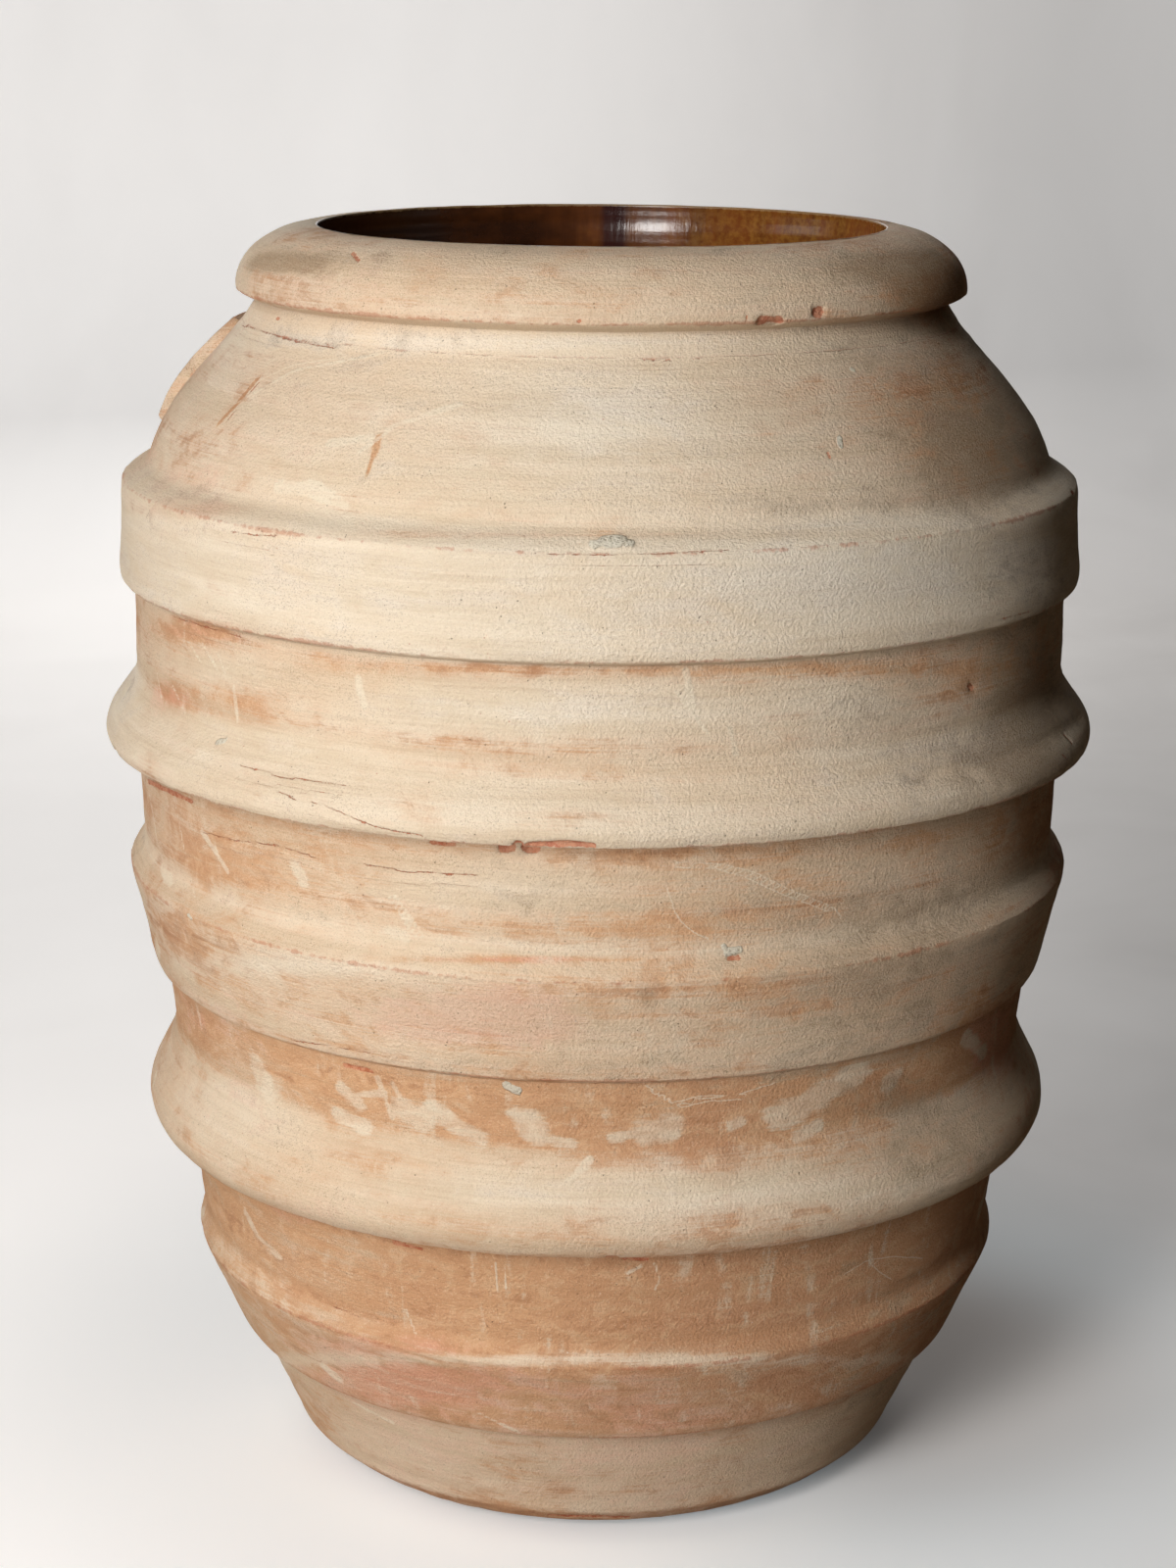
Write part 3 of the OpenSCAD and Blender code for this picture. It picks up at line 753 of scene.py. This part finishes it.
def chipped(plain, s, lap):
    """How near each point is to a chip, and how deep clay is missing there."""
    near_chip, cut = np.full(plain.shape[:-1], -1.0), np.zeros(plain.shape[:-1])
    for wide, depth, path in chips:
        mine = level(plain, [(wide, path)])
        ragged = mine + 0.3 * cloud(lap, s, 340, 0.005, 71)
        cut = np.maximum(cut, depth * MM * np.clip(ragged, 0, 0.5) / 0.5)
        near_chip = np.maximum(near_chip, mine)
    return near_chip, cut


# %% A whole piece
FACES_DOWN = -0.7             # upward part of the outward direction on an underside
FACES_UP = 0.2                # and on what faces up enough to rise over the mouth


def turned_piece(node, name, finish):
    """The detailed piece that stands for a node: its rings, its relief, its marks. What faces
    down is only ever cut back, not at all on the ground, and nothing rises over the mouth."""
    place = rings_of(node)
    line, out, inward = read(soft, place), read(outward, place), read(knock, place)
    is_glaze = node == "glaze_lining"
    columns = GLAZE_COLUMNS if is_glaze else COLUMNS
    lap = (np.arange(columns) + 0.5)[None] / columns
    s, radius, z = read(along, place)[:, None], line[:, :1], line[:, 1:]
    plain = settled(radius, z, lap)
    chip, cut = np.full(plain.shape[:-1], -1.0), 0
    if is_glaze:
        lift = glaze_lift(line, s, lap)
    else:
        lift = clay_lift(place, plain, s, lap)
        chip, cut = chipped(plain, s, lap)
    lift = np.where(out[:, 1:] < FACES_DOWN, np.minimum(lift, 0) * (z > 1 * MM), lift)
    headroom = (TOP - z) / np.maximum(out[:, 1:], FACES_UP)
    lift = np.where(out[:, 1:] > FACES_UP, np.minimum(lift, headroom), lift)
    lift[[0, -1]] = np.where(radius[[0, -1]] == 0, 0, lift[[0, -1]])
    face = settled(radius + out[:, :1] * lift - inward[:, :1] * cut,
                   z + out[:, 1:] * lift - inward[:, 1:] * cut, lap)
    back = settled(hidden[node][:, :1], hidden[node][:, 1:], lap)
    side, here = line_marks(plain)
    # The third wash is grime, with painted shade on the side away from the window and under the rim.
    more_slip, blush, grime_and_shade = washed(plain)
    more_slip = more_slip - 1.1 * part(level(plain, bares) * 1.6)
    uneven = 0.3 * clouds(lap, s, 130, 0.016, 72, 2)
    values = {"slip": read(slip_on_skin, place)[:, None] + more_slip, "blush": blush, "grime_and_shade": grime_and_shade,
              "edge": np.repeat(read(edge_worn, place)[:, None], columns, 1),
              "smear": level(plain, smears) + uneven, "lime": level(plain, limes),
              "chip": chip, "side": side, "line": here}
    blank = {"slip": 0.3, "smear": -1, "lime": -1, "chip": -1, "side": 1}
    values = {key: np.vstack([value, np.full((len(back), columns), blank.get(key, 0.0))])
              for key, value in values.items()}
    item = ringed(name, np.vstack([face, back]), values, [0, len(face) - 1], finish)
    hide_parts(node)
    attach(item, "root")
    print(f"{name}: {len(face)} rings shown, {len(back)} hidden, {len(item.data.polygons)} faces")


# %% [markdown]
# ## Writing a finish as sums
#
# A shader is a web of small nodes, and wiring it by hand hides what it works out. Here a
# node's output is a Feed, and sums on Feeds add the Math nodes. Colours are mixed with Mix
# nodes, and any other node is made by one method.

# %% Sums on shader nodes
class Feed:
    """One output of a shader node."""

    def __init__(self, finish, socket):
        self.finish, self.socket = finish, socket

    def sum(self, operation, other, swapped=False):
        """This value and another one, put together by a Math node."""
        a, b = (other, self) if swapped else (self, other)
        return self.finish.node("Math", {"operation": operation}, {0: a, 1: b})

    def __add__(self, other): return self.sum("ADD", other)
    def __radd__(self, other): return self.sum("ADD", other)
    def __sub__(self, other): return self.sum("SUBTRACT", other)
    def __rsub__(self, other): return self.sum("SUBTRACT", other, True)
    def __mul__(self, other): return self.sum("MULTIPLY", other)
    def __rmul__(self, other): return self.sum("MULTIPLY", other)
    def __abs__(self): return self.sum("ABSOLUTE", 0)
    def max(self, other): return self.sum("MAXIMUM", other)

    def stirred(self, *noises):
        """Moved up and down by noises, each followed by its strength: + (noise - 0.5) x strength."""
        total = self
        for noise, strength in zip(noises[::2], noises[1::2]):
            total = total + (noise - 0.5) * strength
        return total

    def rise(self, low, high):
        """0 up to low, 1 from high on, and a smooth step between."""
        return self.finish.node("MapRange", {"interpolation_type": "SMOOTHSTEP"},
                                {"Value": self, "From Min": low, "From Max": high})


class Finish:
    """A material that is built up node by node."""

    def __init__(self, name):
        self.material = bpy.data.materials.new(name)
        self.material.use_nodes = True
        self.tree = self.material.node_tree
        self.shader = self.tree.nodes["Principled BSDF"]
        self.place = self.node("TexCoord", {}, {}, "Object")

    def node(self, kind, settings, sockets, output=0):
        """Adds a shader node, sets its settings, then feeds or sets its sockets."""
        made = self.tree.nodes.new("ShaderNode" + kind)
        for key, value in settings.items():
            setattr(made, key, value)
        for key, value in sockets.items():
            self.feed(made.inputs[key], value)
        return Feed(self, made.outputs[output])

    def feed(self, socket, value):
        if isinstance(value, Feed):
            self.tree.links.new(value.socket, socket)
        else:
            socket.default_value = value

    def vector(self, operation, a, b=(0, 0, 0), output=0):
        return self.node("VectorMath", {"operation": operation}, {0: a, 1: b}, output)

    def stretched(self, *factors):
        """Object coordinates, each times its own factor."""
        return self.vector("MULTIPLY", self.place, factors)

    def axis(self, which):
        """One of the object coordinates: 0 for X, 1 for Y."""
        return self.node("SeparateXYZ", {}, {0: self.place}, which)

    def noise(self, where, scale, detail=4, roughness=0.55, twist=0):
        """A noise at a place, or at the object coordinates, each times its own factor."""
        where = self.stretched(*where) if isinstance(where, tuple) else where
        return self.node("TexNoise", {}, {
            "Vector": where, "Scale": scale, "Detail": detail, "Roughness": roughness,
            "Distortion": twist})

    def stored(self, name):
        """A value that the mesh keeps for each of its points."""
        return self.node("Attribute", {"attribute_name": name}, {}, "Fac")

    def mix(self, share, a, b):
        """Colour a, and as much of colour b as share says. A colour may be given as its code."""
        a, b = (tint(colour) if isinstance(colour, str) else colour for colour in (a, b))
        return self.node("Mix", {"data_type": "RGBA"}, {0: share, 6: a, 7: b}, 2)

    def coated(self, colour, *coats):
        """A colour under coats of others, each given as its share and its code."""
        for share, coat in coats:
            colour = self.mix(share, colour, coat)
        return colour

    def bump(self, strength, distance, height):
        return self.node("Bump", {}, {"Strength": strength, "Distance": distance, "Height": height})

    def wear(self, **sockets):
        """Feeds the shader's own sockets, spaces in their names written as underscores."""
        for key, value in sockets.items():
            self.feed(self.shader.inputs[key.replace("_", " ")], value)


def tint(code):
    """A colour as written for a screen, made linear for the shader."""
    parts = [int(code[k:k + 2], 16) / 255 for k in (1, 3, 5)]
    return [((c + 0.055) / 1.055) ** 2.4 if c > 0.04045 else c / 12.92 for c in parts] + [1.0]


# %% [markdown]
# ## Clay under a worn slip
#
# The clay is orange to pink. A pale slip was wiped over it with a wet hand, round and round,
# so it lies in level streaks: thick on straps and shoulder, thin on the walls between. On top
# come dabs of slip from single fingers, grey weathering with painted shade laid into it on the
# side away from the window and under the rim, orange-red breaks where an edge was knocked, fine
# pits, and dark hairline cracks. One finish holds them all. How much of each there is at a point
# is stored on the meshes.

# %% The clay finish
def clay_finish():
    """Clay, then slip as thick as is stored, then what lies on them or has broken through: dabs,
    wisps, grime and painted shade, rubbed edges, chips, cracks and veins, pits, flakes, specks
    and lime."""
    clay = Finish("fired_clay_and_slip")
    streak = clay.noise((3, 3, 70), 1, 7, 0.66, 0.4)
    fine_streak = clay.noise((14, 14, 800), 1, 3, 0.6)
    drift = clay.noise((1, 1, 1.6), 7, 6, 0.6, 0.5)
    broad = clay.noise(clay.place, 2.6, 3)
    patch = clay.noise((1, 1, 2.4), 16, 8, 0.66, 0.8)
    blotch = clay.noise((1, 1, 1.5), 38, 7, 0.7, 1.2)
    mottle = clay.noise(clay.place, 70, 6, 0.68)
    pebble = clay.noise(clay.place, 210, 3, 0.6)
    grain = clay.noise(clay.place, 480, 4, 0.7)
    speck = clay.noise(clay.place, 1000, 2, 0.6)

    # The bare clay, and the slip over it.
    blush = clay.stored("blush").stirred(patch, 1.4, blotch, 1.2, broad, 0.8).rise(0.28, 0.72)
    bare = clay.coated(
        clay.mix(broad.rise(0.35, 0.65), "#d2a47c", "#c59470"),
        (streak.rise(0.4, 0.75) * 0.5, "#b98a62"),
        (blotch.rise(0.5, 0.6) * 0.36, "#dfbc97"),
        ((1 - (blotch * 0.6 + streak * 0.4).rise(0.37, 0.48)) * 0.55, "#a97650"),
        (blush * 0.7, "#d79b80"))
    slip = clay.stored("slip")
    laid = slip.stirred(drift, 0.9, streak, 1.0, patch, 1.0, fine_streak, 0.5, mottle, 0.35)
    cover = laid.rise(0.2, 0.95) * 0.78 + laid.stirred(blotch, 1.5).rise(0.4, 0.62) * 0.22
    pale = clay.coated(
        clay.mix(streak.rise(0.35, 0.65), "#ecdfca", "#dccbb1"),
        (drift.rise(0.42, 0.7) * 0.5, "#dfc6a8"),
        (laid.rise(0.9, 1.35) * 0.6, "#efe7da"),
        (blush * 0.42, "#e3bda6"))

    # What was wiped or dabbed on, and what has settled since, with painted shade among it.
    wiped = fine_streak.rise(0.48, 0.6) * streak.rise(0.42, 0.58) * (1.15 - slip * 0.6)
    tatters = clay.noise(clay.place, 45, 4, 0.6, 0.8)
    dab = clay.stored("smear").stirred(tatters, 0.9, fine_streak, 0.6, streak, 0.6, mottle, 0.7)
    dab = dab.rise(0.1, 0.55)
    thickness = (streak * 0.5 + blotch * 0.5).rise(0.38, 0.6)
    slanted = clay.node("Mapping", {}, {
        "Vector": clay.place, "Rotation": (0.0, 0.45, 0.0), "Scale": (95.0, 60.0, 13.0)})
    wisp = clay.noise(slanted, 1, 5, 0.6, 0.4).stirred(fine_streak, 0.25).rise(0.56, 0.66)
    thinly = (0.8 - slip).rise(0, 0.4) * patch.rise(0.44, 0.6)
    # Grey-brown grime. Where the washes put it on the side away from the window and on the collar under
    # the rim, it is painted shade as well.
    grime_and_shade = clay.stored("grime_and_shade").stirred(patch, 1.5, drift, 1.0, blotch, 1.1, mottle, 0.7)
    grime_and_shade = grime_and_shade.rise(0.15, 0.85)

    # What has broken away.
    rubbed = clay.stored("edge").stirred(pebble, 1.1, mottle, 1.5, drift, 2.0).rise(0.85, 1.2)
    broken = clay.stored("chip").stirred(mottle, 1.2, grain, 0.8).rise(0.1, 0.25)
    off = abs((clay.stored("side") * 8).stirred(mottle, 3.2, grain, 1.4))
    kind = clay.stored("line")
    crack = (1 - (off - pebble.rise(0.52, 0.66) * 0.7).rise(0.1, 0.5)) * kind.rise(0.0, 0.7)
    crack = crack * (mottle * 0.7 + blotch * 0.6).rise(0.56, 0.7)
    vein = (1 - off.rise(0.1, 0.7)) * (0 - kind).rise(0.05, 0.6)

    # Pits, flakes, specks and lime.
    pores = clay.node("TexVoronoi", {}, {"Vector": clay.place, "Scale": 330, "Randomness": 1})
    chosen = clay.noise(clay.place, 150, 2)
    pit = (1 - pores.rise(0.06, 0.2)) * chosen.rise(0.6, 0.68)
    flake = (1 - pores.rise(0.12, 0.26)) * (1 - chosen.rise(0.3, 0.37))
    crowd = (patch * 0.6 + drift * 0.4).rise(0.42, 0.62) * 0.5 + grime_and_shade * 0.5 + 0.2
    lime = clay.stored("lime").stirred(mottle, 1.2, pebble, 0.8).rise(0.0, 0.2)

    colour = clay.coated(
        clay.mix(cover * (0.7 + 0.24 * slip), bare, pale),
        (wiped * 0.3, "#b58a62"),
        (dab * (0.34 + 0.36 * thickness), "#e8dcc6"),
        (wisp * thinly * 0.45, "#e6d9c2"),
        (grime_and_shade * 0.5, "#84694a"),
        (rubbed * 0.5, "#b9704f"),
        (broken * 0.85, clay.mix(pebble.rise(0.4, 0.6), "#b5603f", "#cf8d6c")),
        (crack * 0.85, clay.mix(grain.rise(0.45, 0.6), "#bd6a48", "#8a4f35")),
        (vein * 0.6, "#e8dcc6"),
        (pit * 0.7, "#5f412c"),
        (flake * 0.5, clay.mix(patch.rise(0.48, 0.54), "#b5694c", "#f3ead9")),
        (speck.rise(0.54, 0.68) * crowd * 0.65, "#7d5c3c"),
        ((1 - speck.rise(0.3, 0.42)) * 0.28, "#f3e8d3"),
        (lime * 0.92, clay.mix(grain.rise(0.35, 0.46), "#a8967a", "#efe7d4")))
    height = (streak * 0.45 + fine_streak * 0.3 + mottle * 0.25 + pebble * 0.5 + grain * 1.9
              + lime * grain * 2.5 + cover * 0.12 + dab * 0.15 - pit * 1.6 - crack * 0.9
              - broken * mottle * 1.4)
    clay.wear(Base_Color=colour, Roughness=(0.86 - cover * 0.12).stirred(mottle, 0.12),
              Normal=clay.bump(0.9, 1.1 * MM, height))
    clay.shader.inputs["Specular IOR Level"].default_value = 0.3
    return clay.material


# %% [markdown]
# ## The glaze inside
#
# The brown glaze is glass over rough clay. It ran down in streaks while it melted and pooled
# darker where it is thick. Painted shade makes it near black on the window's side, and painted
# light makes it honey-coloured, in a mottle, across from it. It is smooth, so its highlights are
# sharp, and a thin clear coat adds a little to them.

# %% The glaze finish
TRICKLE_X = 0.009             # metres right of the axis, where a run of glaze pooled darkly


def glaze_finish():
    """Painted shade, near black, on the window's side and painted light, honey-coloured, across from
    it, with one dark run of glaze.
    """
    glaze = Finish("brown_glaze")
    run = glaze.noise((26, 26, 3), 1, 5, 0.6, 0.3)
    mottle = glaze.noise(glaze.place, 160, 6, 0.72)
    cloudy = glaze.noise((1, 1, 2), 14, 4, 0.6)
    ripple = glaze.noise((200, 200, 14), 1, 3, 0.6)
    turned = glaze.noise((3, 3, 330), 1, 3, 0.5)
    across = glaze.axis(0)
    # Painted light and shade: near black on the window's side, honey-coloured across from it.
    painted_light_across = across.stirred(cloudy, 0.3)
    colour = glaze.mix(run.rise(0.35, 0.65), "#7a431c", "#512a11")
    colour = glaze.mix(painted_light_across.rise(-0.14, 0.12), "#23120b", colour)
    lip = glaze.stored("edge").stirred(mottle, 0.6).rise(0.75, 1.0)
    colour = glaze.coated(
        colour,
        (painted_light_across.rise(-0.02, 0.2) * (mottle * 0.6 + run * 0.4).rise(0.4, 0.6) * 0.75, "#9a6a2c"),
        ((1 - abs(across.stirred(run, 0.008) - TRICKLE_X).rise(0.006, 0.013)) * 0.85, "#2b1013"),
        (lip * 0.7, "#8f7348"))
    height = run * 0.3 + mottle * 0.5 + ripple * 0.9 + turned * 0.25
    glaze.wear(Base_Color=colour, Roughness=0.13 + mottle * 0.14 + lip * 0.4,
               Normal=glaze.bump(0.5, 0.6 * MM, height))
    glaze.shader.inputs["Coat Weight"].default_value = 0.15
    glaze.shader.inputs["Coat Roughness"].default_value = 0.12
    return glaze.material


fired_clay, brown_glaze = clay_finish(), glaze_finish()
for node in STACK:
    turned_piece(node, node + "_clay", fired_clay)
turned_piece("glaze_lining", "glaze_lining_skin", brown_glaze)

# %% [markdown]
# ## The seal on the shoulder
#
# A pad of clay was pressed onto the soft shoulder. Its border stands up round a plain sunk
# face, and the fingers that pressed it left it thin at both ends. It is a grid laid on the
# shoulder: one side length runs round the jar, the other up the slope, and the height over the
# shoulder is the pad's own.

# %% The seal's place, and a helper for flat grids
SEAL_WIDE = 75 * MM
seal_low, seal_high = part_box("shoulder_seal")
seal_middle = corners("shoulder_seal").mean(axis=0)
seal_angle = math.atan2(seal_middle[0], -seal_middle[1])
shoulder = np.flatnonzero(np.isin(owner, ["shoulder_course", "neck_collar"]))
seal_foot, seal_head = np.interp([seal_low[2] + 0.5 * MM, seal_high[2] - 3.0 * MM],
                                 soft[shoulder, 1], shoulder)


def grid_faces(rows, columns):
    """The four corners of each cell of a grid whose points are numbered row by row."""
    number = np.arange(rows * columns).reshape(rows, columns)
    cell = [number[:-1, :-1], number[:-1, 1:], number[1:, 1:], number[1:, :-1]]
    return number, np.stack(cell, -1).reshape(-1, 4)


# %% The seal
RIM_ROUND = 3.5 * MM
BORDER = 6 * MM
SLOPE = 4 * MM                # from the border down to the sunk face, and worn edge to unworn


def seal_piece(across=90, upward=120):
    """Height over the shoulder: 8 mm at the middle and 4.5 at both ends, less 1.8 inside the
    border, rounded off at the rim of the pad, with a lumpy press of 0.5 mm."""
    a, b = np.meshgrid(np.linspace(-1, 1, across), np.linspace(-1, 1, upward))
    ragged = 1 + 0.03 * cloud((a + 1) / 2, b * 0.1, 7, 0.05, 81)
    half = SEAL_WIDE / 2 * (1 - 0.12 * np.abs(b) ** 6) * ragged
    place = seal_foot + (seal_head - seal_foot) * (b + 1) / 2
    line = read(soft, place.ravel()).reshape(*a.shape, 2)
    out = read(outward, place.ravel()).reshape(*a.shape, 2)
    length = np.ptp(read(along, np.array([seal_foot, seal_head])))
    rim = np.minimum((1 - np.abs(a)) * SEAL_WIDE / 2, (1 - np.abs(b)) * length / 2)
    rounded = np.sqrt(part(1 - part(1 - rim / RIM_ROUND) ** 2))
    inner = part((rim - BORDER) / SLOPE)
    press = 0.5 * MM * clouds((a + 1) / 9, b * length / 2, 40, 0.02, 83)
    thick = (8 - 3.5 * b ** 2) * MM - 1.8 * MM * inner ** 2 * (3 - 2 * inner) + press
    share = (seal_angle + a * half / line[..., 0]) / (2 * math.pi) % 1
    top, flat = (settled(line[..., 0] + out[..., 0] * lift, line[..., 1] + out[..., 1] * lift, share)
                 for lift in (thick * rounded - 0.2 * MM, -1.0 * MM))
    number, quads = grid_faces(*a.shape)
    border = np.concatenate([number[0, :-1], number[:-1, -1], number[-1, :0:-1], number[:0:-1, 0]])
    onward = np.roll(border, -1)
    skirt = np.stack([border, border + a.size, onward + a.size, onward], -1)
    faces = np.concatenate([quads, quads[:, ::-1] + a.size, skirt])
    points = np.concatenate([top, flat]).reshape(-1, 3)
    rim = np.append(rim, 0 * rim)
    grime_and_shade = 0.3 + 0.6 * part(np.append(b, b) * 2 - 1)
    stored = {"slip": 0.62, "blush": 0.1, "grime_and_shade": grime_and_shade, "smear": -1, "lime": -1, "side": 1,
              "line": 0, "chip": -0.45 - rim / BORDER, "edge": 0.75 * part(1 - rim / SLOPE)}
    stored = {key: value + 0 * rim for key, value in stored.items()}
    item = put_in_scene("shoulder_seal_clay", points, faces.tolist(), fired_clay, stored)
    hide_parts("shoulder_seal")
    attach(item, "root")


seal_piece()
print("seal turned to", round(math.degrees(seal_angle), 1), "degrees from the front")

# %% [markdown]
# ## Floor, backdrop and light
#
# The jar stands on a pale floor that curves up into a backdrop. One tall soft lamp at the left,
# like a window, models the round body. A weaker one over the jar lights the ledges and the
# floor, a third stands for light that is thrown back from the left, and a fourth behind the jar
# keeps its back from going black. The camera doesn't see the lamps themselves.

# %% A floor that curves up behind the jar
HALF_FLOOR = 12.0             # metres to both sides and in front
WALL_AT = 4.0                 # metres behind the jar
WALL_TOP = 5.0
ARC_RADIUS = 0.8


def stage_sheet(finish):
    """A line that runs level, turns up on an arc of radius ARC_RADIUS and goes straight up, carried
    along X. It leaves room to walk round the jar."""
    arc = np.linspace(0, math.pi / 2, 25)
    line = np.concatenate([
        [(-HALF_FLOOR, 0.0)],
        np.column_stack([WALL_AT - ARC_RADIUS + ARC_RADIUS * np.sin(arc),
                         ARC_RADIUS - ARC_RADIUS * np.cos(arc)]),
        [(WALL_AT, WALL_TOP)]])
    x = np.linspace(-HALF_FLOOR, HALF_FLOOR, 9)
    grid = [(across, *point) for point in line.tolist() for across in x.tolist()]
    faces = grid_faces(len(line), len(x))[1].tolist()
    item = put_in_scene("stage_sheet", grid, faces, finish, {})


SHADOW_MIDDLE = (0.24, 0.06, 0.0)
FAR_GREY = (0.58, 0.57, 0.56, 1.0)
BLACK = (0.0, 0.0, 0.0, 1.0)


def stage_finish():
    """Nearly white to the camera, with painted light that makes it brighter on the window's side.
    Darker and browner to the light that it throws back, so that the jar's far side stays dark. It
    glows a little to the camera, less near the jar and least in its shadow, with the painted shade
    of cloth folds in the glow. Far off and towards the front it fades to grey."""
    sheet = Finish("pale_ground")
    seen = sheet.node("LightPath", {}, {}, "Is Camera Ray")
    sideways, frontwards = sheet.axis(0), 1 - sheet.axis(1).rise(-2.7, -1.1)
    # Painted light: the colour and the glow are brighter towards the window's side, and the fold noise
    # is painted shade of cloth folds in the glow.
    fold_shading = sheet.noise((1.6, 1.6, 0.7), 2, 4, 0.6, 0.6)
    pale = sheet.mix(sideways.rise(-0.1, 0.9), "#f3f0ee", "#d3d0ce")
    thrown = sheet.mix(sideways.rise(-0.3, 0.5), "#bdb2a6", "#6b5c4a")
    floor_place = sheet.stretched(1, 1, 0)
    reach = sheet.vector("LENGTH", floor_place, output="Value")
    away = reach.rise(0.26, 0.72)
    from_shadow = sheet.vector("DISTANCE", floor_place, SHADOW_MIDDLE, "Value").rise(0.1, 0.32)
    far_glow = (0.31 - 0.19 * sideways.rise(-0.5, 1.0)).stirred(fold_shading, 0.1) * away + 0.05
    far_glow = far_glow + 0.16 * reach.rise(3.0, 4.4)
    near_glow = 0.12 * from_shadow * (1 - away)
    glow = sheet.node("CombineColor", {}, {
        channel: far_glow + near_glow * warmth for channel, warmth in enumerate((0.7, 1, 1.15))})
    horizon = reach.rise(4.6, 11).max(frontwards)
    glow = sheet.mix(seen, BLACK, sheet.mix(horizon, glow, FAR_GREY))
    colour = sheet.mix(horizon, sheet.mix(seen, thrown, pale), BLACK)
    sheet.wear(Base_Color=colour, Roughness=0.95, Emission_Color=glow)
    sheet.shader.inputs["Emission Strength"].default_value = 1
    sheet.shader.inputs["Specular IOR Level"].default_value = 0.1
    return sheet.material


stage_sheet(stage_finish())

# %% Lamps
LAMP_COLOUR = (1, 0.985, 0.965)
LAMPS = {  # place, height of the spot on the axis that it faces, width and height, watts
    "window_light": ((-1.20, -2.72, 1.40), 0.45, (0.75, 1.9), 95),
    "sky_light": ((-1.7, -1.3, 2.7), 0.5, (1.4, 1.4), 16),
    "side_light": ((-3.0, 0.2, 0.8), 0.45, (1.5, 1.6), 9),
    "back_light": ((-0.2, 3.5, 1.4), 0.45, (2.4, 1.6), 28)}

for name, (place, aim, size, power) in LAMPS.items():
    light = bpy.data.lights.new(name, "AREA")
    light.shape, light.energy, light.color = "RECTANGLE", power, LAMP_COLOUR
    light.size, light.size_y = size
    item = bpy.data.objects.new(name, light)
    back = np.array(place) - (0, 0, aim)
    back /= np.linalg.norm(back)
    side = np.cross([0, 0, 1], back)
    side /= np.linalg.norm(side)
    item.matrix_world = axes_at(place, side, np.cross(back, side), back)
    item.visible_camera = False
    bpy.context.scene.collection.objects.link(item)
print(len(LAMPS), "lamps")

# %% Air: a little warm light from all round, and a pale grey where the camera sees past the floor
world = bpy.data.worlds.new("world")
bpy.context.scene.world = world
world.use_nodes = True
web = world.node_tree
fill = web.nodes["Background"]
fill.inputs["Color"].default_value = (1, 0.86, 0.73, 1)
fill.inputs["Strength"].default_value = 0.035
distance = web.nodes.new("ShaderNodeBackground")
distance.inputs["Color"].default_value = FAR_GREY
choose = web.nodes.new("ShaderNodeMixShader")
web.links.new(web.nodes.new("ShaderNodeLightPath").outputs["Is Camera Ray"], choose.inputs[0])
web.links.new(fill.outputs[0], choose.inputs[1])
web.links.new(distance.outputs[0], choose.inputs[2])
web.links.new(choose.outputs[0], web.nodes["World Output"].inputs["Surface"])
bpy.context.scene.view_settings.view_transform = "Standard"

# %% The end
bpy.context.view_layer.update()
